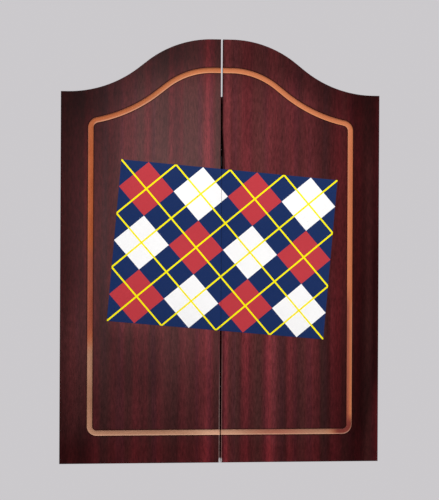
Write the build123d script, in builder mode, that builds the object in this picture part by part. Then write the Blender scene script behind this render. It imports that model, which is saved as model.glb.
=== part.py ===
from build123d import *
import math
import os

os.makedirs("parts", exist_ok=True)

# ----------------------------------------------------------------------------
# Wall-hung dart board cabinet with two arched doors. Millimetres.
# Frame: +X right, -Y out of the wall towards the player, +Z up.
# Origin: on the back face, straight behind the bull.
# Plane.XZ faces the player, so a sketch on Plane.XZ.offset(d) lies d in front
# of the wall, and a positive extrude grows towards the player.
# ----------------------------------------------------------------------------

# doors, outside
DOOR_HALF_W = 267.0          # both doors together are 534 wide
DOOR_BOTTOM = -309.0
SHOULDER_Z = 307.9
CROWN_Z = 398.2
CROWN_FLAT = 15.5            # half length of the flat at the top of the arch
CONVEX_R = 175.2
CONCAVE_R = 189.1
CONCAVE_X = 256.3
SEAM_TOP = 1.75              # half the gap between the doors at the crown
SEAM_BOTTOM = 0.75           # and at the bottom
PULL_TOP = 242.0             # finger relief in the right door's meeting edge
PULL_BOTTOM = -80.0
PULL_DEPTH = 6.2
DOOR_BACK = 77.0             # distance of each face from the wall
DOOR_FRONT = 89.0
EDGE_R = 1.6                 # eased front edges

# inlaid line
INLAY_IN = 52.0              # centre line, inwards from the arch
INLAY_W = 9.0
INLAY_X = 217.5
INLAY_Z = -258.0
INLAY_DEPTH = 3.0
INLAY_SUNK = 0.3
INLAY_TOP_R = 13.5           # corner radii of its centre line
INLAY_BOTTOM_R = 11.5

# applied print
PRINT_W = 364.0
PRINT_H = 269.0
PRINT_TILT = -4.9
PRINT_X = 3.0
PRINT_Z = 46.3
PRINT_T = 0.3
PRINT_SPLIT = 0.25           # its two halves end this far each side of the middle

# case
CASE_HALF_W = 260.0
CASE_HALF_H = 306.0
CASE_DEPTH = 60.0
BOARD_T = 12.0
BACK_T = 6.0
RABBET = 6.0
FELT_T = 2.0
RAIL_T = 12.0
RAIL_H = 40.0

# wall fixing: four screws on 16 inch stud centres
STUD_SPACING = 406.4
FIX_SPACING_Z = 548.0
FIX_HOLE_R = 2.75

# door frames
FRAME_BACK = 60.6
STILE_OUT = 261.0
STILE_IN = 243.0
MEET_OUT = 15.0
MEET_IN = 3.0
DOOR_RAIL_H = 30.0
SCORE_T = 2.0

# hinges
HINGE_X = 264.0
HINGE_D = 60.3
HINGE_Z = 210.0
HINGE_H = 50.0
LEAF_T = 1.0
BARREL_R = 2.8
PIN_R = 1.30
RUN_R = 1.35
KNUCKLE = 16.6               # middle knuckle
SCREW_R = 1.5
SCREW_HEAD_R = 2.4
SCREW_HEAD_H = 0.9
SCREW_L = 13.0

# catches
CATCH_X = 30.0
CATCH_W = 24.0
CATCH_H = 12.0
CATCH_L = 14.0

# dart board
BOARD_R = 225.5
BOARD_BACK = 12.5
BOARD_FRONT = 50.5
BACKING_T = 9.0
BAND_T = 1.0
WIRE = 1.2
RINGS = (6.35, 15.9, 99.0, 107.0, 162.0, 170.0)
HOOP_R = 217.0
NUMERAL_R = 197.0
NUMERAL_H = 25.0
NUMERAL_W = 13.0
NUMERAL_T = 1.8
NUMBERS = (20, 1, 18, 4, 13, 6, 10, 15, 2, 17, 3, 19, 7, 16, 8, 11, 14, 9, 12, 5)

# darts and their holders
DART_X = (186.0, 208.0, 230.0)
DART_D = 65.0
HOLDER_TOP = -160.0
HOLDER_H = 12.0
HOLDER_R = 4.5
FLIGHT_R = 13.0
FLIGHT_L = 42.0
SHAFT_R = 2.2
SHAFT_L = 30.0
BARREL_DART_R = 3.4
BARREL_DART_L = 45.0
POINT_R = 1.15
POINT_L = 32.0
DART_ZERO = -162.3           # lower tip of the flights


def finish(builder, label):
    builder.part.label = label
    export_step(builder.part, f"parts/{label}.step")


# ----------------------------------------------------------------------------
# The arch: a convex arc at the crown, a short tangent straight, and a concave
# arc down to the flat shoulder. An inward offset keeps both centres.
# ----------------------------------------------------------------------------
C2 = (CROWN_FLAT, CROWN_Z - CONVEX_R)
C1 = (CONCAVE_X, SHOULDER_Z + CONCAVE_R)
gap_x, gap_z = C1[0] - C2[0], C1[1] - C2[1]
gap = math.hypot(gap_x, gap_z)
lean = math.atan2(gap_z, gap_x) + math.acos((CONVEX_R + CONCAVE_R) / gap)


def arch_points(inset):
    """Tangent points on the convex and the concave arc at an inward offset."""
    n = (math.cos(lean), math.sin(lean))
    r2, r1 = CONVEX_R - inset, CONCAVE_R + inset
    return (C2[0] + r2 * n[0], C2[1] + r2 * n[1]), (C1[0] - r1 * n[0], C1[1] - r1 * n[1])


def on_convex(inset, angle):
    r = CONVEX_R - inset
    return (C2[0] + r * math.cos(angle), C2[1] + r * math.sin(angle))


def on_concave_x(inset, x):
    r = CONCAVE_R + inset
    return (x, C1[1] - math.sqrt(r * r - (C1[0] - x) ** 2))


def concave_mid(inset, a, b):
    r = CONCAVE_R + inset
    t0 = math.atan2(a[1] - C1[1], a[0] - C1[0])
    t1 = math.atan2(b[1] - C1[1], b[0] - C1[0])
    t = (t0 + t1) / 2
    return (C1[0] + r * math.cos(t), C1[1] + r * math.sin(t))


P2, P1 = arch_points(0)
with BuildSketch() as door_outline:
    with BuildLine():
        Line((SEAM_BOTTOM, DOOR_BOTTOM), (DOOR_HALF_W, DOOR_BOTTOM))
        Line((DOOR_HALF_W, DOOR_BOTTOM), (DOOR_HALF_W, SHOULDER_Z))
        Line((DOOR_HALF_W, SHOULDER_Z), (CONCAVE_X, SHOULDER_Z))
        ThreePointArc((CONCAVE_X, SHOULDER_Z), concave_mid(0, (CONCAVE_X, SHOULDER_Z), P1), P1)
        Line(P1, P2)
        ThreePointArc(P2, on_convex(0, (lean + math.pi / 2) / 2), (CROWN_FLAT, CROWN_Z))
        Line((CROWN_FLAT, CROWN_Z), (SEAM_TOP, CROWN_Z))
        Line((SEAM_TOP, CROWN_Z), (SEAM_BOTTOM, DOOR_BOTTOM))
    make_face()


def seam_x(z):
    return SEAM_BOTTOM + (SEAM_TOP - SEAM_BOTTOM) * (z - DOOR_BOTTOM) / (CROWN_Z - DOOR_BOTTOM)


# the right door's outline has a long shallow finger relief in its meeting edge
pull_mid = (PULL_TOP + PULL_BOTTOM) / 2
with BuildSketch() as right_outline:
    add(door_outline.sketch)
    with BuildLine():
        ThreePointArc((seam_x(PULL_BOTTOM), PULL_BOTTOM), (seam_x(pull_mid) + PULL_DEPTH, pull_mid),
                      (seam_x(PULL_TOP), PULL_TOP))
        Line((seam_x(PULL_TOP), PULL_TOP), (-5, PULL_TOP))
        Line((-5, PULL_TOP), (-5, PULL_BOTTOM))
        Line((-5, PULL_BOTTOM), (seam_x(PULL_BOTTOM), PULL_BOTTOM))
    make_face(mode=Mode.SUBTRACT)


def inlay_edge(inset, x, z, top_r, bottom_r):
    """One edge of the inlaid line as a filleted face reaching past the seam."""
    q2, q1 = arch_points(inset)
    corner = on_concave_x(inset, x)
    top = CROWN_Z - inset
    with BuildSketch() as face:
        with BuildLine():
            Line((-5, z), (x, z))
            Line((x, z), corner)
            ThreePointArc(corner, concave_mid(inset, corner, q1), q1)
            Line(q1, q2)
            ThreePointArc(q2, on_convex(inset, (lean + math.pi / 2) / 2), (CROWN_FLAT, top))
            Line((CROWN_FLAT, top), (-5, top))
            Line((-5, top), (-5, z))
        make_face()
        low = face.vertices().sort_by_distance((x, z, 0))[0]
        fillet(low, radius=bottom_r)
        high = face.vertices().sort_by_distance((corner[0], corner[1], 0))[0]
        fillet(high, radius=top_r)
    return face


half = INLAY_W / 2
inlay_outer = inlay_edge(INLAY_IN - half, INLAY_X + half, INLAY_Z - half, INLAY_TOP_R + half, INLAY_BOTTOM_R + half)
inlay_inner = inlay_edge(INLAY_IN + half, INLAY_X - half, INLAY_Z + half, INLAY_TOP_R - half, INLAY_BOTTOM_R - half)

with BuildSketch() as inlay_line:
    add(inlay_outer.sketch)
    add(inlay_inner.sketch, mode=Mode.SUBTRACT)
    add(door_outline.sketch, mode=Mode.INTERSECT)

# ----------------------------------------------------------------------------
# Common hardware
# ----------------------------------------------------------------------------
with BuildPart() as wood_screw:
    # head flush with local Z = 0, shank along -Z
    with BuildSketch(Plane.XZ):
        with BuildLine():
            Polyline((0, 0), (SCREW_HEAD_R, 0), (SCREW_R, -SCREW_HEAD_H),
                     (SCREW_R, -SCREW_L + 3), (0, -SCREW_L), (0, 0))
        make_face()
    revolve(axis=Axis.Z)

# screw positions: (x, depth from wall, z), pointing into the wood behind
case_leaf_screws = [(254.5, CASE_DEPTH, HINGE_Z * s + dz) for s in (-1, 1) for dz in (-18, 0, 18)]
door_leaf_screws = [(252.5, FRAME_BACK, HINGE_Z * s + dz) for s in (-1, 1) for dz in (-18, 0, 18)]

# ----------------------------------------------------------------------------
# Case
# ----------------------------------------------------------------------------
inner_w = CASE_HALF_W - BOARD_T
inner_h = CASE_HALF_H - BOARD_T
dowel_spots = [(d, z) for d in (18.0, 44.0) for z in (CASE_HALF_H - BOARD_T / 2, -CASE_HALF_H + BOARD_T / 2)]
brad_side = [(inner_w + RABBET / 2, z) for z in (-240.0, -120.0, 0.0, 120.0, 240.0)]
brad_ends = [(x, s * (inner_h + RABBET / 2)) for x in (-160.0, 0.0, 160.0) for s in (-1, 1)]
brad_spots = brad_side + [(-x, z) for x, z in brad_side] + brad_ends

with BuildPart() as right_case_dowels:
    for d, z in dowel_spots:
        with BuildSketch(Plane(origin=(inner_w - 16, -d, z), x_dir=(0, 1, 0), z_dir=(1, 0, 0))):
            Circle(3.0)
        extrude(amount=24)

with BuildPart() as brads:
    with BuildSketch(Plane.XZ):
        with Locations(*brad_spots):
            Circle(2.0)
    extrude(amount=0.6)
    with BuildSketch(Plane.XZ.offset(0.6)):
        with Locations(*brad_spots):
            Circle(0.8)
    extrude(amount=17.4)

with BuildPart() as right_case_screws:
    for x, d, z in case_leaf_screws:
        with Locations(Plane(origin=(x, -d, z), x_dir=(1, 0, 0), z_dir=(0, -1, 0)).location):
            add(wood_screw.part)
    for s in (-1, 1):
        # catch screws drive up into the top panel and down into the bottom one
        with Locations(Plane(origin=(CATCH_X, -50.0, s * (inner_h - 10.0)), x_dir=(1, 0, 0), z_dir=(0, 0, -s)).location):
            add(wood_screw.part)

with BuildPart() as right_case_leaves:
    for s in (-1, 1):
        z0 = HINGE_Z * s
        with BuildSketch(Plane.XZ.offset(CASE_DEPTH - LEAF_T)):
            with Locations(((249.0 + 260.9) / 2, z0)):
                Rectangle(260.9 - 249.0, HINGE_H)
            for e in (-1, 1):
                with Locations((261.3, z0 + e * (HINGE_H / 2 + KNUCKLE / 2 + 0.2) / 2)):
                    Rectangle(1.6, HINGE_H / 2 - KNUCKLE / 2 - 0.2)
        extrude(amount=LEAF_T)
        for a, b in ((-HINGE_H / 2, -KNUCKLE / 2 - 0.2), (KNUCKLE / 2 + 0.2, HINGE_H / 2)):
            with BuildSketch(Plane.XY.offset(z0 + a)):
                with Locations((HINGE_X, -HINGE_D)):
                    Circle(BARREL_R)
                    Circle(PIN_R, mode=Mode.SUBTRACT)
            extrude(amount=b - a)
    add(right_case_screws.part, mode=Mode.SUBTRACT)

with BuildPart() as right_hinge_pins:
    for s in (-1, 1):
        z0 = HINGE_Z * s
        with BuildSketch(Plane.XY.offset(z0 - HINGE_H / 2)):
            with Locations((HINGE_X, -HINGE_D)):
                Circle(PIN_R)
        extrude(amount=HINGE_H)
        for e in (-1, 1):
            with BuildSketch(Plane.XY.offset(z0 + e * HINGE_H / 2)):
                with Locations((HINGE_X, -HINGE_D)):
                    Circle(2.3)
            extrude(amount=e * 1.4, taper=25)

with BuildPart() as right_side_panel:
    with BuildSketch(Plane.XZ):
        with Locations(((inner_w + CASE_HALF_W) / 2, 0)):
            Rectangle(BOARD_T, 2 * CASE_HALF_H)
    extrude(amount=CASE_DEPTH)
    # rabbet for the back
    with BuildSketch(Plane.XZ):
        with Locations((inner_w + RABBET / 2, 0)):
            Rectangle(RABBET, 2 * (inner_h + RABBET))
    extrude(amount=BACK_T, mode=Mode.SUBTRACT)
    # hinge leaf mortises in the front edge
    with BuildSketch(Plane.XZ.offset(CASE_DEPTH - LEAF_T)):
        with Locations(((249.0 + CASE_HALF_W + 1) / 2, -HINGE_Z), ((249.0 + CASE_HALF_W + 1) / 2, HINGE_Z)):
            Rectangle(CASE_HALF_W + 1 - 249.0, HINGE_H)
    extrude(amount=LEAF_T, mode=Mode.SUBTRACT)
    add(right_case_screws.part, mode=Mode.SUBTRACT)
    add(right_case_dowels.part, mode=Mode.SUBTRACT)
    add(brads.part, mode=Mode.SUBTRACT)
finish(right_side_panel, "right_side_panel")

with BuildPart() as left_side_panel:
    add(mirror(right_side_panel.part, about=Plane.YZ, mode=Mode.PRIVATE))
finish(left_side_panel, "left_side_panel")

with BuildPart() as carcase_dowels:
    add(right_case_dowels.part)
    mirror(about=Plane.YZ)
finish(carcase_dowels, "carcase_dowels")

with BuildPart() as case_hardware_screws:
    add(right_case_screws.part)
    mirror(about=Plane.YZ)
finish(case_hardware_screws, "case_hardware_screws")

with BuildPart() as hinge_case_leaves:
    add(right_case_leaves.part)
    mirror(about=Plane.YZ)
finish(hinge_case_leaves, "hinge_case_leaves")

with BuildPart() as hinge_pins:
    add(right_hinge_pins.part)
    mirror(about=Plane.YZ)
finish(hinge_pins, "hinge_pins")

finish(brads, "back_panel_brads")

for label, s in (("top_panel", 1), ("bottom_panel", -1)):
    with BuildPart() as end_panel:
        with BuildSketch(Plane.XZ):
            with Locations((0, s * (inner_h + BOARD_T / 2))):
                Rectangle(2 * inner_w, BOARD_T)
        extrude(amount=CASE_DEPTH)
        with BuildSketch(Plane.XZ):
            with Locations((0, s * (inner_h + RABBET / 2))):
                Rectangle(2 * inner_w, RABBET)
        extrude(amount=BACK_T, mode=Mode.SUBTRACT)
        add(carcase_dowels.part, mode=Mode.SUBTRACT)
        add(brads.part, mode=Mode.SUBTRACT)
        add(case_hardware_screws.part, mode=Mode.SUBTRACT)
    finish(end_panel, label)

fix_spots = [(sx * STUD_SPACING / 2, sz * FIX_SPACING_Z / 2) for sx in (-1, 1) for sz in (-1, 1)]
bracket_spots = [(sx * 32.0, sz * 18.0) for sx in (-1, 1) for sz in (-1, 1)]

with BuildPart() as bracket_screws:
    # pan-head screws through the feet of the board bracket
    with BuildSketch(Plane.XZ.offset(BACK_T + 1.5)):
        with Locations(*bracket_spots):
            Circle(3.4)
    extrude(amount=1.8, taper=20)
    with BuildSketch(Plane.XZ.offset(0.8)):
        with Locations(*bracket_spots):
            Circle(1.7)
    extrude(amount=BACK_T + 1.5 - 0.8)
finish(bracket_screws, "bracket_screws")

with BuildPart() as back_panel:
    with BuildSketch(Plane.XZ):
        Rectangle(2 * (inner_w + RABBET), 2 * (inner_h + RABBET))
        with Locations(*fix_spots):
            Circle(FIX_HOLE_R, mode=Mode.SUBTRACT)
    extrude(amount=BACK_T)
    add(brads.part, mode=Mode.SUBTRACT)
    add(bracket_screws.part, mode=Mode.SUBTRACT)
finish(back_panel, "back_panel")

for label, s in (("upper_hanging_rail", 1), ("lower_hanging_rail", -1)):
    with BuildPart() as rail:
        with BuildSketch(Plane.XZ.offset(BACK_T)):
            with Locations((0, s * (inner_h - RAIL_H / 2))):
                Rectangle(2 * inner_w, RAIL_H)
            with Locations(*fix_spots):
                Circle(FIX_HOLE_R, mode=Mode.SUBTRACT)
        extrude(amount=RAIL_T)
        front_edge = rail.edges().filter_by(Axis.X).group_by(Axis.Y)[0].sort_by(Axis.Z)[0 if s > 0 else -1]
        chamfer(front_edge, length=2.0)
    finish(rail, label)

with BuildPart() as backing_felt:
    with BuildSketch(Plane.XZ.offset(BACK_T)):
        Rectangle(2 * inner_w - 0.6, 2 * (inner_h - RAIL_H) - 0.6)
        Rectangle(90, 66, mode=Mode.SUBTRACT)
    extrude(amount=FELT_T)
finish(backing_felt, "backing_felt")

# Pressed steel bracket: two feet and a raised bridge with a slot open at the
# top, in which the screw on the back of the board hangs.
with BuildPart() as board_bracket:
    with BuildSketch(Plane.XY.offset(-26)):
        with BuildLine():
            Polyline((-40, -6), (-22.5, -6), (-20.5, -10.5), (20.5, -10.5), (22.5, -6), (40, -6),
                     (40, -7.5), (23.5, -7.5), (21.5, -12), (-21.5, -12), (-23.5, -7.5), (-40, -7.5), (-40, -6))
        make_face()
    extrude(amount=52)
    with BuildSketch(Plane.XZ.offset(9)):
        with Locations((0, 15)):
            Rectangle(6.4, 30)
        Circle(3.2)
    extrude(amount=4, mode=Mode.SUBTRACT)
    add(bracket_screws.part, mode=Mode.SUBTRACT)
finish(board_bracket, "board_bracket")

# Magnetic catches, one above and one below on each side of the seam
with BuildPart() as right_magnets:
    for s in (-1, 1):
        with BuildSketch(Plane.XZ.offset(CASE_DEPTH - 5)):
            with Locations((CATCH_X, s * (inner_h - CATCH_H / 2))):
                Rectangle(14, 6)
        extrude(amount=5.3)

with BuildPart() as right_catches:
    for s in (-1, 1):
        with BuildSketch(Plane.XZ.offset(CASE_DEPTH - CATCH_L)):
            with Locations((CATCH_X, s * (inner_h - CATCH_H / 2))):
                Rectangle(CATCH_W, CATCH_H)
        extrude(amount=CATCH_L)
        # screw-driver access below the screw
        with BuildSketch(Plane.XY.offset(s * (inner_h - CATCH_H))):
            with Locations((CATCH_X, -50.0)):
                Circle(SCREW_HEAD_R + 0.2)
        extrude(amount=s * 2.0, mode=Mode.SUBTRACT)
    fillet(right_catches.edges().filter_by(Axis.Y).group_by(Axis.X)[0], radius=1.0)
    fillet(right_catches.edges().filter_by(Axis.Y).group_by(Axis.X)[-1], radius=1.0)
    add(right_magnets.part, mode=Mode.SUBTRACT)
    add(right_case_screws.part, mode=Mode.SUBTRACT)

with BuildPart() as catch_bodies:
    add(right_catches.part)
    mirror(about=Plane.YZ)
finish(catch_bodies, "catch_bodies")

with BuildPart() as catch_magnets:
    add(right_magnets.part)
    mirror(about=Plane.YZ)
finish(catch_magnets, "catch_magnets")

# ----------------------------------------------------------------------------
# Doors: the right one is drawn, and the left one is its mirror image, apart
# from the finger relief
# ----------------------------------------------------------------------------
def door_panel(outline):
    with BuildPart() as panel:
        with BuildSketch(Plane.XZ.offset(DOOR_BACK)):
            add(outline.sketch)
        extrude(amount=DOOR_FRONT - DOOR_BACK)
        fillet(panel.faces().sort_by(Axis.Y)[0].edges(), radius=EDGE_R)
        with BuildSketch(Plane.XZ.offset(DOOR_FRONT - INLAY_DEPTH)):
            add(inlay_line.sketch)
        extrude(amount=INLAY_DEPTH, mode=Mode.SUBTRACT)
    return panel


right_door_panel = door_panel(right_outline)
plain_door_panel = door_panel(door_outline)
with BuildPart() as left_door_panel:
    add(mirror(plain_door_panel.part, about=Plane.YZ, mode=Mode.PRIVATE))
finish(right_door_panel, "right_door_panel")
finish(left_door_panel, "left_door_panel")

with BuildPart() as right_door_inlay:
    with BuildSketch(Plane.XZ.offset(DOOR_FRONT - INLAY_DEPTH)):
        add(inlay_line.sketch)
    extrude(amount=INLAY_DEPTH - INLAY_SUNK)

with BuildPart() as right_door_print:
    with BuildSketch(Plane.XZ.offset(DOOR_FRONT)):
        with Locations((PRINT_X, PRINT_Z)):
            Rectangle(PRINT_W, PRINT_H, rotation=PRINT_TILT)
        with Locations((PRINT_SPLIT + 150, PRINT_Z)):
            Rectangle(300, 400, mode=Mode.INTERSECT)
    extrude(amount=PRINT_T)

with BuildPart() as left_door_print_flat:
    with BuildSketch(Plane.XZ.offset(DOOR_FRONT)):
        with Locations((PRINT_X, PRINT_Z)):
            Rectangle(PRINT_W, PRINT_H, rotation=PRINT_TILT)
        with Locations((-PRINT_SPLIT - 150, PRINT_Z)):
            Rectangle(300, 400, mode=Mode.INTERSECT)
    extrude(amount=PRINT_T)

with BuildPart() as right_door_screws:
    for x, d, z in door_leaf_screws:
        with Locations(Plane(origin=(x, -d, z), x_dir=(1, 0, 0), z_dir=(0, 1, 0)).location):
            add(wood_screw.part)
    for s in (-1, 1):
        for dx in (-8.5, 8.5):
            with Locations(Plane(origin=(CATCH_X + dx, -FRAME_BACK, s * (inner_h - CATCH_H / 2)),
                                 x_dir=(1, 0, 0), z_dir=(0, 1, 0)).location):
                add(wood_screw.part)

with BuildPart() as right_door_strikes:
    for s in (-1, 1):
        with BuildSketch(Plane.XZ.offset(FRAME_BACK)):
            with Locations((CATCH_X, s * (inner_h - CATCH_H / 2))):
                RectangleRounded(26, 12, 2)
        extrude(amount=LEAF_T)
    add(right_door_screws.part, mode=Mode.SUBTRACT)

with BuildPart() as right_door_leaves:
    for s in (-1, 1):
        z0 = HINGE_Z * s
        with BuildSketch(Plane.XZ.offset(FRAME_BACK)):
            with Locations(((247.0 + 260.9) / 2, z0)):
                Rectangle(260.9 - 247.0, HINGE_H)
            with Locations((261.3, z0)):
                Rectangle(1.6, KNUCKLE)
        extrude(amount=LEAF_T)
        with BuildSketch(Plane.XY.offset(z0 - KNUCKLE / 2)):
            with Locations((HINGE_X, -HINGE_D)):
                Circle(BARREL_R)
                Circle(RUN_R, mode=Mode.SUBTRACT)
        extrude(amount=KNUCKLE)
    add(right_door_screws.part, mode=Mode.SUBTRACT)

frame_t = DOOR_BACK - FRAME_BACK
with BuildPart() as right_door_outer_stile:
    with BuildSketch(Plane.XZ.offset(FRAME_BACK)):
        with Locations(((STILE_IN + STILE_OUT) / 2, 0)):
            Rectangle(STILE_OUT - STILE_IN, 2 * CASE_HALF_H)
    extrude(amount=frame_t)
    with BuildSketch(Plane.XZ.offset(FRAME_BACK)):
        with Locations(((247.0 + STILE_OUT + 1) / 2, -HINGE_Z), ((247.0 + STILE_OUT + 1) / 2, HINGE_Z)):
            Rectangle(STILE_OUT + 1 - 247.0, HINGE_H)
    extrude(amount=LEAF_T, mode=Mode.SUBTRACT)
    add(right_door_screws.part, mode=Mode.SUBTRACT)

with BuildPart() as right_door_meeting_stile:
    with BuildSketch(Plane.XZ.offset(FRAME_BACK)):
        with Locations(((MEET_IN + MEET_OUT) / 2, 0)):
            Rectangle(MEET_OUT - MEET_IN, 2 * CASE_HALF_H)
    extrude(amount=frame_t)

with BuildPart() as right_door_top_rail:
    with BuildSketch(Plane.XZ.offset(FRAME_BACK)):
        with Locations(((MEET_OUT + STILE_IN) / 2, CASE_HALF_H - DOOR_RAIL_H / 2)):
            Rectangle(STILE_IN - MEET_OUT, DOOR_RAIL_H)
    extrude(amount=frame_t)
    add(right_door_strikes.part, mode=Mode.SUBTRACT)
    add(right_door_screws.part, mode=Mode.SUBTRACT)

with BuildPart() as right_door_bottom_rail:
    with BuildSketch(Plane.XZ.offset(FRAME_BACK)):
        with Locations(((MEET_OUT + STILE_IN) / 2, -CASE_HALF_H + DOOR_RAIL_H / 2)):
            Rectangle(STILE_IN - MEET_OUT, DOOR_RAIL_H)
    extrude(amount=frame_t)
    add(right_door_strikes.part, mode=Mode.SUBTRACT)
    add(right_door_screws.part, mode=Mode.SUBTRACT)

SCORE_LOW, SCORE_HIGH = -80.0, CASE_HALF_H - DOOR_RAIL_H - 0.5
with BuildPart() as right_door_scoreboard:
    with BuildSketch(Plane.XZ.offset(DOOR_BACK - SCORE_T)):
        with Locations(((MEET_OUT + STILE_IN) / 2, (SCORE_LOW + SCORE_HIGH) / 2)):
            Rectangle(STILE_IN - MEET_OUT - 1.0, SCORE_HIGH - SCORE_LOW)
    extrude(amount=SCORE_T)

with BuildPart() as right_door_chalk_ledge:
    with BuildSketch(Plane.YZ.offset(18.0)):
        with BuildLine():
            Polyline((-77, -96), (-63.5, -96), (-62, -94.5), (-62, -82), (-64.5, -82), (-64.5, -91),
                     (-74, -91), (-75.5, -89.5), (-75.5, -80.5), (-77, -80.5), (-77, -96))
        make_face()
    extrude(amount=150)

with BuildPart() as right_door_dart_holder:
    with BuildSketch(Plane.XY.offset(HOLDER_TOP - HOLDER_H)):
        with Locations(((175 + STILE_IN) / 2, -(DOOR_BACK + 57.0) / 2)):
            Rectangle(STILE_IN - 175, DOOR_BACK - 57.0)
        with Locations(*[(x, -DART_D) for x in DART_X]):
            Circle(HOLDER_R, mode=Mode.SUBTRACT)
    extrude(amount=HOLDER_H)
    fillet(right_door_dart_holder.edges().filter_by(Axis.X).group_by(Axis.Y)[-1], radius=2.5)

door_pieces = {
    "door_inlay": right_door_inlay,
    "door_outer_stile": right_door_outer_stile,
    "door_meeting_stile": right_door_meeting_stile,
    "door_top_rail": right_door_top_rail,
    "door_bottom_rail": right_door_bottom_rail,
    "door_scoreboard": right_door_scoreboard,
    "door_chalk_ledge": right_door_chalk_ledge,
    "door_dart_holder": right_door_dart_holder,
    "door_hinge_leaves": right_door_leaves,
    "door_screws": right_door_screws,
    "door_strikes": right_door_strikes,
}
for label, piece in door_pieces.items():
    finish(piece, "right_" + label)
    with BuildPart() as left_piece:
        add(mirror(piece.part, about=Plane.YZ, mode=Mode.PRIVATE))
    finish(left_piece, "left_" + label)
finish(right_door_print, "right_door_print")
finish(left_door_print_flat, "left_door_print")

# ----------------------------------------------------------------------------
# Dart board
# ----------------------------------------------------------------------------
with BuildPart() as dartboard_backing:
    with BuildSketch(Plane.XZ.offset(BOARD_BACK)):
        Circle(BOARD_R - BAND_T - 0.05)
        Circle(2.9, mode=Mode.SUBTRACT)
    extrude(amount=BACKING_T)
finish(dartboard_backing, "dartboard_backing")

with BuildPart() as dartboard_sisal:
    with BuildSketch(Plane.XZ.offset(BOARD_BACK + BACKING_T)):
        Circle(BOARD_R - BAND_T - 0.05)
    extrude(amount=BOARD_FRONT - BOARD_BACK - BACKING_T)
finish(dartboard_sisal, "dartboard_sisal")

with BuildPart() as dartboard_rim_band:
    with BuildSketch(Plane.XZ.offset(BOARD_BACK)):
        Circle(BOARD_R)
        Circle(BOARD_R - BAND_T, mode=Mode.SUBTRACT)
    extrude(amount=BOARD_FRONT - BOARD_BACK)
finish(dartboard_rim_band, "dartboard_rim_band")

with BuildPart() as dartboard_spider:
    with BuildSketch(Plane.XZ.offset(BOARD_FRONT)):
        reach = RINGS[-1] - RINGS[1]
        with PolarLocations((RINGS[1] + RINGS[-1]) / 2, 20, start_angle=9):
            Rectangle(reach, WIRE)
        for r in RINGS:
            with BuildSketch(mode=Mode.PRIVATE) as wire_ring:
                Circle(r + WIRE / 2)
                Circle(r - WIRE / 2, mode=Mode.SUBTRACT)
            add(wire_ring.sketch)
    extrude(amount=WIRE)
finish(dartboard_spider, "dartboard_spider")

with BuildPart() as dartboard_hanging_screw:
    with BuildSketch(Plane.XZ.offset(8.3)):
        Circle(7.0)
    extrude(amount=2.0)
    with BuildSketch(Plane.XZ.offset(10.3)):
        Circle(2.9)
    extrude(amount=BOARD_BACK + BACKING_T - 10.3)
finish(dartboard_hanging_screw, "dartboard_hanging_screw")

with BuildPart() as dartboard_spacers:
    with BuildSketch(Plane.XZ.offset(8.3)):
        with PolarLocations(180, 3, start_angle=90):
            Circle(8.0)
    extrude(amount=BOARD_BACK - 8.3)
finish(dartboard_spacers, "dartboard_spacers")

with BuildPart() as number_ring_hoop:
    with BuildSketch(Plane.XZ.offset(BOARD_FRONT)):
        Circle(HOOP_R + 1.0)
        Circle(HOOP_R - 1.0, mode=Mode.SUBTRACT)
    extrude(amount=2.0)
finish(number_ring_hoop, "number_ring_hoop")

with BuildPart() as number_ring_clips:
    with BuildSketch(Plane.XZ.offset(BOARD_FRONT)):
        with PolarLocations(HOOP_R + 3.0, 4, start_angle=49):
            Rectangle(3.6, 6.0)
    extrude(amount=2.4)
finish(number_ring_clips, "number_ring_clips")

# Numerals from straight strokes: a top, g middle, d bottom, f b upper sides,
# e c lower sides.
SEGMENTS = {"0": "abcdef", "1": "bc", "2": "abged", "3": "abgcd", "4": "fgbc", "5": "afgcd",
            "6": "afgedc", "7": "abc", "8": "abcdefg", "9": "abcdfg"}
bar_x = (NUMERAL_W - NUMERAL_T) / 2
bar_z = (NUMERAL_H - NUMERAL_T) / 2
STROKES = {"a": (0, bar_z), "g": (0, 0), "d": (0, -bar_z), "f": (-bar_x, bar_z / 2),
           "b": (bar_x, bar_z / 2), "e": (-bar_x, -bar_z / 2), "c": (bar_x, -bar_z / 2)}
flat_bars, tall_bars = [], []
for i, number in enumerate(NUMBERS):
    turn = -18.0 * i
    digits = str(number)
    for k, digit in enumerate(digits):
        shift = (k - (len(digits) - 1) / 2) * (NUMERAL_W + 4.0)
        for segment in SEGMENTS[digit]:
            px, pz = STROKES[segment]
            px, pz = px + shift, pz + NUMERAL_R
            a = math.radians(turn)
            place = Location((px * math.cos(a) - pz * math.sin(a), px * math.sin(a) + pz * math.cos(a), 0), (0, 0, turn))
            (flat_bars if segment in "agd" else tall_bars).append(place)

with BuildPart() as number_ring_numerals:
    with BuildSketch(Plane.XZ.offset(BOARD_FRONT)):
        with Locations(*flat_bars):
            Rectangle(NUMERAL_W, NUMERAL_T)
        with Locations(*tall_bars):
            Rectangle(NUMERAL_T, bar_z + NUMERAL_T)
    extrude(amount=NUMERAL_T)
finish(number_ring_numerals, "number_ring_numerals")

# ----------------------------------------------------------------------------
# Darts: point down, the flights resting on the holder
# ----------------------------------------------------------------------------
with BuildPart() as dart:
    with BuildSketch(Plane.XZ):
        with BuildLine():
            Polyline((0, -SHAFT_L - BARREL_DART_L - POINT_L), (POINT_R, -SHAFT_L - BARREL_DART_L - POINT_L + 6),
                     (POINT_R, -SHAFT_L - BARREL_DART_L), (0, -SHAFT_L - BARREL_DART_L),
                     (0, -SHAFT_L - BARREL_DART_L - POINT_L))
        make_face()
    revolve(axis=Axis.Z)

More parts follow.
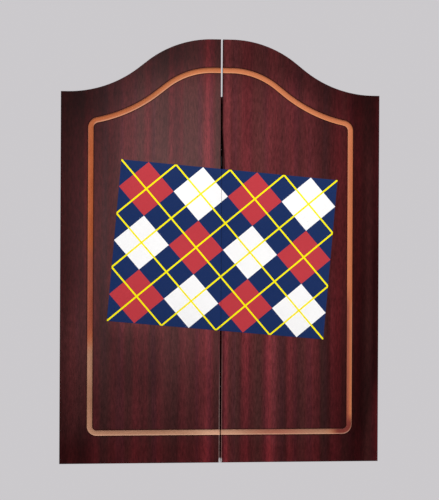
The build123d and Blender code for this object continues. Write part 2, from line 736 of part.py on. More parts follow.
with BuildPart() as dart_barrel:
    with BuildSketch(Plane.XZ):
        with BuildLine():
            Polyline((0, -SHAFT_L), (2.6, -SHAFT_L), (BARREL_DART_R, -SHAFT_L - 6),
                     (BARREL_DART_R, -SHAFT_L - BARREL_DART_L + 8), (2.0, -SHAFT_L - BARREL_DART_L),
                     (0, -SHAFT_L - BARREL_DART_L), (0, -SHAFT_L))
        make_face()
    revolve(axis=Axis.Z)

with BuildPart() as dart_shaft:
    with BuildSketch(Plane.XY.offset(-SHAFT_L)):
        Circle(SHAFT_R)
    extrude(amount=SHAFT_L + 14)

with BuildPart() as dart_flights:
    for turn in (45, 135):
        with BuildSketch(Plane(origin=(0, 0, 0), x_dir=(math.cos(math.radians(turn)), math.sin(math.radians(turn)), 0),
                               z_dir=(math.sin(math.radians(turn)), -math.cos(math.radians(turn)), 0))):
            with BuildLine():
                Polyline((0, 0), (SHAFT_R, 0), (FLIGHT_R, 13), (FLIGHT_R, FLIGHT_L - 5), (FLIGHT_R - 5, FLIGHT_L),
                         (0, FLIGHT_L), (-FLIGHT_R + 5, FLIGHT_L), (-FLIGHT_R, FLIGHT_L - 5), (-FLIGHT_R, 13),
                         (-SHAFT_R, 0), (0, 0))
            make_face()
        extrude(amount=0.25, both=True)
    add(dart_shaft.part, mode=Mode.SUBTRACT)

for side, s in (("left", -1), ("right", 1)):
    for place, x in zip(("inner", "middle", "outer"), DART_X):
        spot = Location((s * x, -DART_D, DART_ZERO))
        pieces = [dart.part, dart_barrel.part, dart_shaft.part, dart_flights.part]
        group = Compound(children=[p.solid().moved(spot) for p in pieces])
        group.label = f"{side}_dart_{place}"
        export_step(group, f"parts/{side}_dart_{place}.step")
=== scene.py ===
import bpy, bmesh, math, random
import numpy as np
from mathutils import Vector, Matrix
from mathutils.geometry import delaunay_2d_cdt


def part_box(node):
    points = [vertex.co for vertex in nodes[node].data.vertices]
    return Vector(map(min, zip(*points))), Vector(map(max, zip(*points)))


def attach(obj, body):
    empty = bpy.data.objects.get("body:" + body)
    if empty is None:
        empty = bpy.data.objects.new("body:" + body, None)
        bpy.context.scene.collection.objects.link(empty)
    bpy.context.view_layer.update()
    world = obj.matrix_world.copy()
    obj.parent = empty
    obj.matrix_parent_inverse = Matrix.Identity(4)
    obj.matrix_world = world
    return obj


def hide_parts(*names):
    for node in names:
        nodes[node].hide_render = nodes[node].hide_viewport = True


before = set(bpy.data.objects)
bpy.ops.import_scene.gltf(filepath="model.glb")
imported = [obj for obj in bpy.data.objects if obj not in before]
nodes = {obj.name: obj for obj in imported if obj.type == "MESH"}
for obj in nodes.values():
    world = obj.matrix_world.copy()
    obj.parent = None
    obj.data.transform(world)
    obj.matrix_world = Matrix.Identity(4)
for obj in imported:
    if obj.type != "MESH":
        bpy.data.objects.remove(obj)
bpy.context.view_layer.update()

MM = 0.001
scene = bpy.context.scene
coll = scene.collection
SIDES = (("left", -1), ("right", 1))
random.seed(11)


def lin(r, g, b):
    def f(c):
        c /= 255.0
        return c / 12.92 if c <= 0.04045 else ((c + 0.055) / 1.055) ** 2.4
    return (f(r), f(g), f(b), 1.0)


# ------------------------------------------------------------------ shaders
class Mat:
    """A small builder for one procedural material."""

    def __init__(self, name):
        self.m = bpy.data.materials.new(name)
        self.m.use_nodes = True
        self.t = self.m.node_tree
        self.t.nodes.clear()
        self.out = self.t.nodes.new("ShaderNodeOutputMaterial")
        self.b = self.t.nodes.new("ShaderNodeBsdfPrincipled")
        self.t.links.new(self.b.outputs[0], self.out.inputs[0])
        self._obj = None

    def put(self, sock, v):
        if v is None:
            return
        if isinstance(v, bpy.types.NodeSocket):
            self.t.links.new(v, sock)
        else:
            sock.default_value = v

    def set(self, col=None, rough=None, normal=None, metal=None, spec=None, coat=None, coat_rough=None, sheen=None):
        b = self.b.inputs
        self.put(b["Base Color"], col)
        self.put(b["Roughness"], rough)
        self.put(b["Normal"], normal)
        self.put(b["Metallic"], metal)
        for key, v in (("Specular IOR Level", spec), ("Coat Weight", coat), ("Coat Roughness", coat_rough),
                       ("Sheen Weight", sheen)):
            if v is not None:
                b[key].default_value = v
        return self.m

    def obj(self):
        if self._obj is None:
            self._obj = self.t.nodes.new("ShaderNodeTexCoord").outputs["Object"]
        return self._obj

    def xyz(self, v=None):
        n = self.t.nodes.new("ShaderNodeSeparateXYZ")
        self.put(n.inputs[0], v or self.obj())
        return n.outputs[0], n.outputs[1], n.outputs[2]

    def comb(self, x, y, z):
        n = self.t.nodes.new("ShaderNodeCombineXYZ")
        for i, v in enumerate((x, y, z)):
            self.put(n.inputs[i], v)
        return n.outputs[0]

    def mth(self, op, a, b=None, c=None, clamp=False):
        n = self.t.nodes.new("ShaderNodeMath")
        n.operation = op
        n.use_clamp = clamp
        for i, v in enumerate((a, b, c)):
            if v is not None:
                self.put(n.inputs[i], v)
        return n.outputs[0]

    def mul(self, *vs):
        r = vs[0]
        for v in vs[1:]:
            r = self.mth("MULTIPLY", r, v)
        return r

    def add(self, *vs):
        r = vs[0]
        for v in vs[1:]:
            r = self.mth("ADD", r, v)
        return r

    def less(self, k, v):
        """1 - k*v"""
        return self.mth("MULTIPLY_ADD", v, -k, 1.0)

    def bell(self, v, c, w):
        """exp(-((v-c)/w)^2)"""
        d = self.mth("MULTIPLY", self.mth("SUBTRACT", v, c), 1.0 / w)
        return self.mth("EXPONENT", self.mth("MULTIPLY", self.mth("MULTIPLY", d, d), -1.0))

    def noise(self, vec, scale=1.0, detail=2.0, rough=0.5, dist=0.0):
        n = self.t.nodes.new("ShaderNodeTexNoise")
        self.put(n.inputs["Vector"], vec)
        n.inputs["Scale"].default_value = scale
        n.inputs["Detail"].default_value = detail
        n.inputs["Roughness"].default_value = rough
        n.inputs["Distortion"].default_value = dist
        return n.outputs[0]

    def voronoi(self, vec, scale=1.0, feature="F1", out="Distance", rand=1.0):
        n = self.t.nodes.new("ShaderNodeTexVoronoi")
        n.feature = feature
        self.put(n.inputs["Vector"], vec)
        n.inputs["Scale"].default_value = scale
        n.inputs["Randomness"].default_value = rand
        return n.outputs[out]

    def rng(self, v, a, b, c=0.0, d=1.0, smooth=False):
        n = self.t.nodes.new("ShaderNodeMapRange")
        n.interpolation_type = "SMOOTHSTEP" if smooth else "LINEAR"
        self.put(n.inputs["Value"], v)
        for k, x in zip(("From Min", "From Max", "To Min", "To Max"), (a, b, c, d)):
            n.inputs[k].default_value = x
        return n.outputs[0]

    def ss(self, v, a, b):
        return self.rng(v, a, b, smooth=True)

    def ramp(self, v, stops, mode="LINEAR"):
        n = self.t.nodes.new("ShaderNodeValToRGB")
        n.color_ramp.interpolation = mode
        e = n.color_ramp.elements
        while len(e) < len(stops):
            e.new(0.5)
        for i, (p, c) in enumerate(stops):
            e[i].position = p
            e[i].color = c if len(c) == 4 else (*c, 1.0)
        self.put(n.inputs[0], v)
        return n.outputs[0]

    def mix(self, f, a, b, kind="MIX"):
        n = self.t.nodes.new("ShaderNodeMix")
        n.data_type = "RGBA"
        n.blend_type = kind
        n.clamp_factor = True
        self.put(n.inputs[0], f)
        self.put(n.inputs[6], a)
        self.put(n.inputs[7], b)
        return n.outputs[2]

    def grey(self, v):
        return self.comb(v, v, v)

    def attr(self, name):
        n = self.t.nodes.new("ShaderNodeAttribute")
        n.attribute_type = "GEOMETRY"
        n.attribute_name = name
        return n.outputs["Fac"]

    def bump(self, h, strength=0.2, dist=0.0005, normal=None):
        n = self.t.nodes.new("ShaderNodeBump")
        n.inputs["Strength"].default_value = strength
        n.inputs["Distance"].default_value = dist
        self.put(n.inputs["Height"], h)
        if normal is not None:
            self.put(n.inputs["Normal"], normal)
        return n.outputs[0]

    def vop(self, op, v, w):
        n = self.t.nodes.new("ShaderNodeVectorMath")
        n.operation = op
        self.put(n.inputs[0], v)
        self.put(n.inputs[1], w)
        return n.outputs[0]

    def vadd(self, v, w):
        return self.vop("ADD", v, w)

    def vmul(self, v, w):
        return self.vop("MULTIPLY", v, w)


def rgb(r, g, b):
    return (r, g, b, 1.0)


def mahogany(name, grain="Z", seed=0.0, gain=1.0, door=None, spec=0.045, rough=0.38):
    """Ribbon-stripe mahogany under satin lacquer, grain along one axis. The door faces darken towards
    their edges, partly from a sprayed toner and partly as painted shade, and carry painted light over their upper
    part."""
    m = Mat(name)
    x, y, z = m.xyz()
    a, d, l = {"Z": (x, y, z), "X": (z, y, x), "Y": (x, z, y)}[grain]
    # the grain wanders a little along its length
    wander = m.noise(m.comb(m.mul(a, 3.0), seed + 3.1, m.mul(l, 2.4)), 1.0, 2.0, 0.5)
    a2 = m.mth("MULTIPLY_ADD", m.mth("SUBTRACT", wander, 0.5), 0.010, a)
    v = m.comb(a2, d, l)

    def band(fa, fl, detail, s, rough=0.5):
        return m.noise(m.vadd(m.vmul(v, (fa, fa, fl)), (seed * 7.3 + s, s * 2.1, seed + s)), 1.0, detail, rough)

    nA = band(24, 0.5, 0.0, 1.0)
    nB = band(62, 0.9, 0.0, 5.0)
    nC = band(125, 1.5, 0.5, 9.0)
    nD = band(380, 6.0, 2.0, 14.0)
    nE = band(1300, 34.0, 2.0, 19.0)
    t = m.mul(nA, 0.20)
    for n, w in ((nB, 0.42), (nC, 0.22), (nD, 0.10), (nE, 0.06)):
        t = m.mth("MULTIPLY_ADD", n, w, t)
    t = m.rng(t, 0.385, 0.615)
    hue = m.rng(band(56, 0.8, 0.5, 27.0), 0.47, 0.62, smooth=True)
    ax = m.mth("ABSOLUTE", x)
    if door == "left":
        # the left leaf is the calmer one
        calm = .62
        t = m.mth("MULTIPLY_ADD", t, 1.0 - calm, calm * .50)
        # narrow faint ribbons about every 20 mm
        sway = m.mth("MULTIPLY_ADD", m.mth("SUBTRACT", wander, 0.5), 0.016, ax)
        t = m.add(t, m.mul(m.mth("COSINE", m.mul(m.mth("SUBTRACT", sway, 0.0035), 2 * math.pi / 0.0203)),
                           m.mth("MULTIPLY_ADD", m.ss(z, .05, -.10), .035, .055)))
        # one bright red ribbon close to the meeting edge and a brown one between them
        lean = m.mth("MULTIPLY_ADD", m.ss(z, .18, .32), .0022, ax)
        t = m.add(t, m.mul(m.bell(lean, 0.0205, 0.0140), m.add(m.mul(m.ss(z, .05, -.10), .12), m.mul(m.ss(z, .18, .30), -.09), .26)))
        t = m.add(t, m.mul(m.bell(ax, 0.0055, 0.0048), -0.24))
        hue = m.add(m.mul(hue, m.less(1.0, m.bell(ax, 0.0208, 0.014))), m.mul(m.bell(ax, 0.0050, 0.0050), 0.95))
        # broader ribbons about every 38 mm over the lower half
        sway = m.mth("MULTIPLY_ADD", m.mth("SUBTRACT", wander, 0.5), 0.012, ax)
        wave = m.mth("COSINE", m.mul(m.mth("SUBTRACT", sway, 0.0250), 2 * math.pi / 0.0372))
        low = m.ss(z, .06, -.10)
        t = m.add(t, m.mul(m.mth("SUBTRACT", wave, 0.35), m.ss(ax, .035, .055), low, 0.19))
        hue = m.mth("MAXIMUM", m.mul(hue, m.less(.5, low)), m.mul(m.rng(m.mul(wave, -1.0), -.2, 1.0), m.ss(ax, .035, .055), low, 0.60))
    elif door == "right":
        # here broad ribbons come about every 37 mm, stronger towards the bottom
        sway = m.mth("MULTIPLY_ADD", m.mth("SUBTRACT", wander, 0.5), 0.012, ax)
        wave = m.mth("COSINE", m.mul(m.mth("SUBTRACT", sway, 0.0060), 2 * math.pi / 0.0375))
        deep = m.mth("MULTIPLY_ADD", m.ss(z, .06, -.10), 0.19, 0.07)
        lively = m.mth("MULTIPLY_ADD", m.ss(z, .06, -.10), 0.35, 0.45)
        t = m.add(m.mul(m.mth("SUBTRACT", t, 0.50), lively), 0.48, m.mul(wave, deep))
        hue = m.mth("MAXIMUM", m.mul(hue, 0.6), 0.0)
        hue = m.add(m.mul(hue, m.less(1.0, m.rng(wave, 0.0, 1.0))), m.mul(m.rng(m.mul(wave, -1.0), -.1, 1.0), m.mul(deep, 2.6)))
        t = m.add(t, m.mul(m.bell(ax, 0.0110, 0.0070), 0.24))
        t = m.add(t, m.mul(m.bell(ax, 0.0840, 0.0080), m.ss(z, .0, -.10), 0.12))
    col = m.ramp(t, [(0.00, rgb(.040, .0100, .0108)), (0.30, rgb(.058, .0120, .0130)), (0.55, rgb(.078, .0138, .0155)),
                     (0.80, rgb(.104, .0160, .0190)), (1.00, rgb(.140, .0205, .0245))])
    # cool brown ribbons between the red ones
    col = m.mix(m.mul(hue, {"left": 0.66, "right": 0.62}.get(door, 0.6)), col, rgb(.050, .0175, .0155))
    # a few ribbons lean to purple
    plum = m.rng(band(110, 1.0, 0.0, 33.0), 0.56, 0.68, smooth=True)
    col = m.mix(m.mul(plum, {"left": 0.35, "right": 0.22}.get(door, 0.45)), col, rgb(.060, .0120, .0195))
    # short flecks where the cut runs across the interlocked fibres
    fleck = m.noise(m.vadd(m.vmul(v, (430, 430, 100)), (seed * 3 + 31, 2, 7)), 1.0, 3.0, 0.65)
    fine = m.noise(m.vadd(m.vmul(v, (1900, 1900, 420)), (seed * 2 + 11, 5, 3)), 1.0, 1.0, 0.5)
    mottle = m.add(m.rng(fleck, 0.28, 0.72, 0.64, 1.36), m.rng(fine, 0.3, 0.7, -0.09, 0.09))
    # open pores: short dark dashes
    pore = m.rng(m.noise(m.vadd(m.vmul(v, (1150, 1150, 70)), (seed * 5 + 8, 3, 2)), 1.0, 1.0), 0.64, 0.76)
    lum = m.mul(mottle, m.less(0.30, pore), gain)
    if door:
        left = door == "left"
        # the face darkens towards its edges, partly a sprayed toner and partly painted shade
        k2 = m.mth("MULTIPLY_ADD", m.ss(z, -.20, .0), .20 if left else .18, .25 if left else .36)
        if left:
            side = m.mul(m.less(.14, m.ss(ax, .15, .205)), m.mth("SUBTRACT", 1.0, m.mul(k2, m.ss(ax, .200, .224))),
                         m.less(.22, m.ss(ax, .232, .266)))
            low = m.mul(m.ss(z, .02, -.10), m.ss(z, -.29, -.25), m.ss(ax, .215, .240))
            side = m.mul(side, m.mth("MULTIPLY_ADD", low, .30, 1.0))
        else:
            side = m.mul(m.less(.17, m.ss(ax, .15, .205)), m.mth("SUBTRACT", 1.0, m.mul(k2, m.ss(ax, .205, .232))),
                         m.less(.16, m.ss(ax, .232, .266)))
            side = m.mul(side, m.less(.20, m.mul(m.ss(ax, .168, .198), m.ss(z, .20, .12))))
            side = m.mul(side, m.less(.25, m.mul(m.ss(ax, .148, .172), m.ss(ax, .208, .196))))
        # painted light brightens the face above its lower part, less under the crown; painted shade darkens the upper
        # outer corners
        top = m.ss(z, .31, .382) if left else m.ss(z, .285, .375)
        up = m.mul(m.ss(z, -.27, -.04), m.less(.95, top))
        g = m.mth("MULTIPLY_ADD", up, *((.80, .72) if left else (.48, .90)))
        corner = m.less(.45 if left else .22, m.mul(m.ss(z, .12, .30), m.ss(ax, .12, .23)))
        lum = m.mul(lum, side, g, corner)

        def reach(cx, cz):
            dx, dz = m.mth("SUBTRACT", ax, cx), m.mth("SUBTRACT", z, cz)
            return m.mth("SQRT", m.add(m.mul(dx, dx), m.mul(dz, dz)))

        # the toner is heavier in a band that follows the arch
        turn = m.ss(ax, .108, .124)
        inwards = m.add(m.mul(m.mth("SUBTRACT", .1752, reach(.0155, .223)), m.less(1.0, turn)),
                        m.mul(m.mth("SUBTRACT", reach(.2563, .497), .1891), turn))
        band_on = m.mul(m.ss(inwards, *((.062, .018) if left else (.042, .018))), m.ss(z, .235, .265), m.ss(ax, .262, .235),
                        m.ss(ax, *((.035, .072) if left else (.080, .120))))
        lum = m.mul(lum, m.less(.40 if left else .26, band_on))
        if left:
            lum = m.mul(lum, m.less(.24, m.mul(m.ss(ax, .160, .182), m.ss(ax, .216, .202), m.ss(z, -.17, -.10))),
                        m.less(.38, m.mul(m.bell(ax, .1845, .0085), m.ss(z, -.02, .05), m.ss(z, .27, .20))),
                        m.less(.30, m.mul(m.ss(ax, .088, .108), m.ss(ax, .205, .175), m.ss(z, -.07, -.11), m.ss(z, -.215, -.175))),
                        m.less(.18, m.mul(m.bell(ax, .0900, .0150), m.ss(z, .20, .27))),
                        m.less(.28, m.mul(m.bell(ax, .228, .018), m.ss(z, -.235, -.265))))
            warm = m.mul(m.bell(ax, .025, .017), m.ss(z, -.20, -.24), .34)
            warm = m.add(warm, m.mul(m.bell(ax, .033, .016), m.ss(z, .19, .22), m.ss(z, .27, .24), .14))
            lum = m.mul(lum, m.add(warm, 1.0), m.less(.26, m.mul(m.bell(ax, .202, .009), m.ss(z, .05, .0), m.ss(z, -.11, -.08))),
                        m.less(.30, m.mul(m.bell(ax, .2075, .0055), m.ss(z, -.06, -.10), m.ss(z, -.25, -.20))))
        else:
            first = m.mul(m.bell(ax, .0098, .0055), m.mth("MULTIPLY_ADD", m.ss(z, .05, -.05), -.12, .58))
            second = m.mul(m.bell(ax, .0260, .0090), .30)
            third = m.mul(m.bell(ax, .0880, .0065), m.ss(z, -.03, -.10), .60)
            fourth = m.mul(m.bell(ax, .0720, .0130), m.ss(z, .10, .20), m.ss(z, .29, .24), .24)
            lum = m.mul(lum, m.add(first, second, third, fourth, 1.0), m.less(.40, m.mul(m.bell(ax, .0035, .0030), m.ss(z, .05, -.05))),
                        m.less(.18, m.mul(m.bell(ax, .0440, .0110), m.ss(z, .20, .25))),
                        m.less(.13, m.mul(m.ss(ax, .105, .125), m.ss(ax, .200, .175), m.ss(z, .16, .22))),
                        m.less(.40, m.mul(m.ss(ax, .2540, .2600), m.ss(z, .12, .02), m.ss(z, -.21, -.15))))
        if not left:
            lum = m.mul(lum, m.less(.15, m.mul(m.ss(z, .05, -.2), m.ss(ax, .19, .225))))
            # a dark streak beside the inlay, and paler ribbons close to the outer edge
            streak = m.mul(m.bell(ax, .2345, .0085), m.ss(z, .10, -.13), m.less(.5, m.ss(z, -.235, -.285)))
            lum = m.mul(lum, m.less(.60, streak))
            slant = m.mth("MULTIPLY_ADD", m.add(z, .276), -.10, ax)
            glow = m.mul(m.ss(slant, .238, .253), m.ss(z, -.15, -.25), 1.35)
            pale = m.mul(m.bell(ax, .2500, .0055), m.ss(z, .26, .16), m.ss(z, -.20, -.08), .80)
            lum = m.mul(lum, m.add(glow, pale, 1.0))
        # the toner is redder where it is thick
        if left:
            thick = m.mul(m.ss(ax, .17, .24), m.less(.85, m.mul(m.ss(z, .02, -.10), m.ss(z, -.295, -.25))))
        else:
            thick = m.mul(m.ss(ax, .165, .225), m.less(.22, m.ss(ax, .225, .245)))
        thick = m.mth("MAXIMUM", thick, m.mul(m.ss(z, .29, .38), 1.0 if left else .55))
        thick = m.mth("MAXIMUM", thick, m.mul(m.ss(z, -.25, -.29), .6))
        col = m.mix(1.0, col, m.mix(m.mul(thick, 1.0), rgb(1, 1, 1), rgb(1, .58, .62)), "MULTIPLY")
    if door == "right":
        col = m.mix(m.mul(m.ss(z, .29, .36), .32), col, rgb(.036, .0135, .0125))
    col = m.mix(1.0, col, m.grey(lum), "MULTIPLY")
    if door:
        # painted sheen: a soft pale reflection added over the middle of the left door, much fainter on the right door
        if left:
            painted_sheen = m.mul(m.bell(x, -.085, .125), m.bell(z, .14, .23), .029)
            painted_sheen = m.mth("MAXIMUM", painted_sheen, m.mul(m.bell(ax, .17, .04), m.bell(z, -.12, .12), .004))
            painted_sheen = m.add(painted_sheen, m.mul(m.bell(ax, .212, .034), m.bell(z, -.02, .16), .0090))
        else:
            painted_sheen = m.mul(m.bell(x, .02, .16), m.bell(z, .14, .24), .0025)
        col = m.mix(1.0, col, m.grey(painted_sheen), "ADD")
        # the wood darkens along the inlay's groove, partly stain and partly painted shade
        h = m.attr("groove_stain_and_shade")
        col = m.mix(m.mul(h, 0.90), col, lin(34, 8, 5))
        # painted highlight along the eased meeting edges, broken up by noise; the lower meeting corners turn paler,
        # nearly white at the very bottom
        pale_seam = m.attr("pale_seam")
        pale_breakup = m.rng(m.noise(m.vadd(m.vmul(m.obj(), (500, 500, 130)), (seed, 1, 6)), 1.0, 3.0, 0.6), 0.33, 0.52)
        pale = lin(168, 142, 136) if door == "left" else lin(148, 108, 102)
        pale = m.mix(m.ss(z, -.2995, -.3035), pale, lin(252, 248, 246))
        col = m.mix(m.mul(pale_seam, m.rng(pale_breakup, 0.0, 1.0, 0.60, 1.0)), col, pale)
        # painted shade on the eased edges
        e = m.attr("edge")
        col = m.mix(m.mul(e, 0.55), col, lin(22, 8, 8))
        worn = m.mul(e, 0.34)
    else:
        worn = None
    height = m.mth("MULTIPLY_ADD", pore, -0.8, m.mul(nE, 0.5))
    r = m.rng(m.noise(m.vadd(m.vmul(v, (18, 18, 9)), (seed, 1, 4)), 1.0, 3.0), 0.3, 0.7, rough - 0.04, rough + 0.05)
    r = m.mth("MULTIPLY_ADD", pore, 0.15, r)
    if worn is not None:
        r = m.add(r, worn)
    return m.set(col=col, rough=r, normal=m.bump(height, 0.14, 0.0002), spec=spec)


def inlay_mat(name, side, seed=0.0):
    """Straight-grained light wood that took the toner unevenly along its length."""
    m = Mat(name)
    u = m.attr("across")          # -1 outer edge .. 1 inner edge
    s = m.attr("along")           # metres along the strip
    # lit_side: 1 on the edge with the painted highlight .. -1 on the edge with painted shade
    e = m.attr("lit_side")           # 1 on the paler edge .. -1 on the darker edge
    x, y, z = m.xyz()
    ax = m.mth("ABSOLUTE", x)
    big = m.noise(m.comb(m.mul(s, 11.0), seed, m.mul(u, 0.25)), 1.0, 2.0, 0.55)
    fib = m.noise(m.comb(m.mul(s, 260.0), seed + 4, m.mul(u, 4.0)), 1.0, 3.0, 0.6)
    tone = m.mth("MULTIPLY_ADD", fib, 0.40, m.mul(big, 0.60))
    tt = m.rng(tone, 0.36, 0.64)
    warm = m.ramp(tt, [(0.0, lin(152, 73, 38)), (0.5, lin(170, 86, 47)), (1.0, lin(188, 101, 58))])
    pale = m.ramp(tt, [(0.0, lin(152, 105, 80)), (0.5, lin(168, 121, 95)), (1.0, lin(184, 135, 107))])
    ruddy = m.ramp(tt, [(0.0, lin(134, 62, 44)), (0.5, lin(146, 72, 52)), (1.0, lin(160, 84, 62))])
    if side == "left":
        # warm above, reddish behind the middle of the run, tan from there down
        col = m.mix(m.ss(z, -.085, -.135), warm, pale)
        red = m.mul(m.ss(z, .065, .03), m.ss(z, -.12, -.075), m.ss(ax, .19, .21))
        col = m.mix(m.mul(red, 0.9), col, ruddy)
        # brighter towards the crown and towards the seam
        glow = m.mth("MAXIMUM", m.mul(m.ss(z, .20, .33), 0.20), m.mul(m.bell(ax, 0.008, .040), m.ss(z, -.2, -.25), 0.48))
    else:
        bottom = m.mul(m.ss(z, -.235, -.252), m.ss(ax, .215, .17))
        col = m.mix(bottom, m.mix(0.60, warm, lin(206, 124, 82)), pale)
        col = m.mix(m.mul(bottom, m.bell(ax, .095, .050), 0.75), col, lin(160, 92, 74))
        low = m.mul(m.ss(z, .0, -.06), m.ss(ax, .19, .21))
        inner = m.rng(u, -0.55, 0.35)
        col = m.mix(m.mul(low, inner, 0.9), col, ruddy)
        col = m.mix(m.mul(m.ss(z, -.225, -.247), m.ss(ax, .182, .202), 0.97), col, lin(116, 46, 38))
        glow = m.mth("MAXIMUM", m.mul(m.ss(z, .20, .30), 0.08), m.mul(m.bell(ax, 0.010, .030), bottom, 0.36))
    col = m.mix(glow, col, m.mix(m.ss(z, -.2, -.25), lin(236, 168, 112), lin(226, 176, 146)))
    # painted highlight on one long edge and painted shade on the other, as if lit from above
    crown = m.ss(z, .20, .27)
    foot = m.ss(z, -.235, -.252)
    edge_highlight = m.mul(m.ss(e, 0.45, 0.95), m.mth("MULTIPLY_ADD", crown, 0.06, 0.30))
    col = m.mix(edge_highlight, col, m.mix(crown, lin(236, 184, 152), lin(236, 170, 122)))
    edge_shade = m.mul(m.ss(m.mul(e, -1.0), 0.30, 0.95), m.less(.80, foot), 0.55)
    col = m.mix(edge_shade, col, lin(112, 52, 36))
    au = m.mth("ABSOLUTE", u)
    # both long edges darken, partly stain and partly painted shade where the strip meets the groove walls
    edge_stain_and_shade = m.ss(au, 0.93, 1.0)
    col = m.mix(m.mul(edge_stain_and_shade, 0.6), col, lin(90, 34, 18))
    return m.set(col=col, rough=m.rng(big, 0.3, 0.7, 0.36, 0.46), normal=m.bump(fib, 0.10, 0.0002), spec=0.22)


def print_mat(name, tilt, xc, zc, w, h, nu, nv):
    """Matt printed film with a traditional lozenge pattern."""
    m = Mat(name)
    x, y, z = m.xyz()
    x0, z0 = m.mth("SUBTRACT", x, xc), m.mth("SUBTRACT", z, zc)
    c, s = math.cos(tilt), math.sin(tilt)
    p = m.mth("MULTIPLY_ADD", x0, c, m.mul(z0, s))
    q = m.mth("MULTIPLY_ADD", z0, c, m.mul(x0, -s))
    U = m.mth("MULTIPLY_ADD", p, nu / w, 0.0 if nu % 2 == 0 else 0.5)
    V = m.mth("MULTIPLY_ADD", q, nv / h, 0.0 if nv % 2 == 0 else 0.5)
    fu = m.mth("ABSOLUTE", m.mth("SUBTRACT", m.mth("FRACT", U), 0.5))
    fv = m.mth("ABSOLUTE", m.mth("SUBTRACT", m.mth("FRACT", V), 0.5))
    inside = m.mth("LESS_THAN", m.add(fu, fv), 0.5)
    par = m.mth("PINGPONG", m.add(m.mth("FLOOR", U), m.mth("FLOOR", V)), 1.0)
    par = m.mth("GREATER_THAN", par, 0.5)
    lozenge = m.mix(par, lin(250, 249, 248), lin(189, 58, 66))
    col = m.mix(inside, lin(24, 45, 92), lozenge)
    line = m.mth("LESS_THAN", m.mth("ABSOLUTE", m.mth("SUBTRACT", fu, fv)), 0.022)
    col = m.mix(line, col, lin(255, 240, 0))
    sheen = m.noise(m.vmul(m.obj(), (900, 900, 900)), 1.0, 2.0)
    col = m.mix(m.mul(m.rng(sheen, 0.35, 0.7), 0.03), col, lin(120, 120, 120))
    return m.set(col=col, rough=m.rng(sheen, 0.3, 0.7, 0.52, 0.62), normal=m.bump(sheen, 0.05, 0.00015), spec=0.03)


# ------------------------------------------------------------------ geometry
def mesh_obj(name, verts, faces, mats, smooth_angle=35.0, attrs=None, mat_index=None, weld=0.0):
    me = bpy.data.meshes.new(name)
    me.from_pydata([tuple(v) for v in verts], [], [tuple(f) for f in faces])
    for k, vals in (attrs or {}).items():
        a = me.attributes.new(k, "FLOAT", "POINT")
        a.data.foreach_set("value", np.asarray(vals, np.float32))
    if mat_index is not None:
        me.polygons.foreach_set("material_index", np.asarray(mat_index, np.int32))
    me.validate()
    bm = bmesh.new()
    bm.from_mesh(me)
    if weld:
        bmesh.ops.remove_doubles(bm, verts=bm.verts, dist=weld)
    bmesh.ops.dissolve_degenerate(bm, dist=2e-7, edges=bm.edges)
    bmesh.ops.recalc_face_normals(bm, faces=bm.faces)
    lim = math.radians(smooth_angle)
    for f in bm.faces:
        f.smooth = True
    for e in bm.edges:
        e.smooth = len(e.link_faces) == 2 and e.calc_face_angle(0) < lim
    bm.to_mesh(me)
    bm.free()
    o = bpy.data.objects.new(name, me)
    coll.objects.link(o)
    for mat in (mats if isinstance(mats, (list, tuple)) else [mats]):
        if mat:
            me.materials.append(mat)
    return o


DOOR = dict(w=267.0, bottom=-309.0, shoulder=307.9, crown=398.2, flat=15.5, r2=175.2, r1=189.1, cx=256.3,
            back=77.0, front=89.0, ease=1.6)
box_lo, box_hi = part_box("left_door_panel")
SEAM_B = -box_hi.x * 1000
SEAM_T = SEAM_B + 1.0
C2 = (DOOR["flat"], DOOR["crown"] - DOOR["r2"])
C1 = (DOOR["cx"], DOOR["shoulder"] + DOOR["r1"])
_gx, _gz = C1[0] - C2[0], C1[1] - C2[1]
LEAN = math.atan2(_gz, _gx) + math.acos((DOOR["r2"] + DOOR["r1"]) / math.hypot(_gx, _gz))
NRM = (math.cos(LEAN), math.sin(LEAN))


def seam_x(z):
    return SEAM_B + (SEAM_T - SEAM_B) * (z - DOOR["bottom"]) / (DOOR["crown"] - DOOR["bottom"])


def nick(z):
    """The lower meeting corners are knocked back a little, mm."""
    return 0.3 * np.clip((-301.5 - z) / 3.5, 0.0, 1.0)


def circle3(a, b, c):
    ax, ay, bx, by, cx, cy = *a, *b, *c
    d = 2 * (ax * (by - cy) + bx * (cy - ay) + cx * (ay - by))
    ux = ((ax * ax + ay * ay) * (by - cy) + (bx * bx + by * by) * (cy - ay) + (cx * cx + cy * cy) * (ay - by)) / d
    uy = ((ax * ax + ay * ay) * (cx - bx) + (bx * bx + by * by) * (ax - cx) + (cx * cx + cy * cy) * (bx - ax)) / d
    return ux, uy, math.hypot(ax - ux, ay - uy)


# the finger relief in the right door's meeting edge
PX, PZ, PR = circle3((seam_x(-80), -80.0), (seam_x(81) + 6.2, 81.0), (seam_x(242), 242.0))


def edge_x(z, d=0.0, pull=False):
    x = seam_x(z) + d + float(nick(z))
    if pull and abs(z - PZ) < 200:
        x = max(x, PX + math.sqrt((PR + d) ** 2 - (z - PZ) ** 2))
    return x


def arc_pts(c, r, a0, a1, n):
    return [(c[0] + r * math.cos(a0 + (a1 - a0) * i / n), c[1] + r * math.sin(a0 + (a1 - a0) * i / n)) for i in range(n + 1)]


def seg(a, b, step=30.0):
    n = max(1, int(math.hypot(b[0] - a[0], b[1] - a[1]) / step))
    return [(a[0] + (b[0] - a[0]) * i / n, a[1] + (b[1] - a[1]) * i / n) for i in range(n + 1)]


def chain(*parts):
    out = []
    for p in parts:
        for q in p:
            if not out or math.hypot(q[0] - out[-1][0], q[1] - out[-1][1]) > 1e-4:
                out.append(q)
    return out


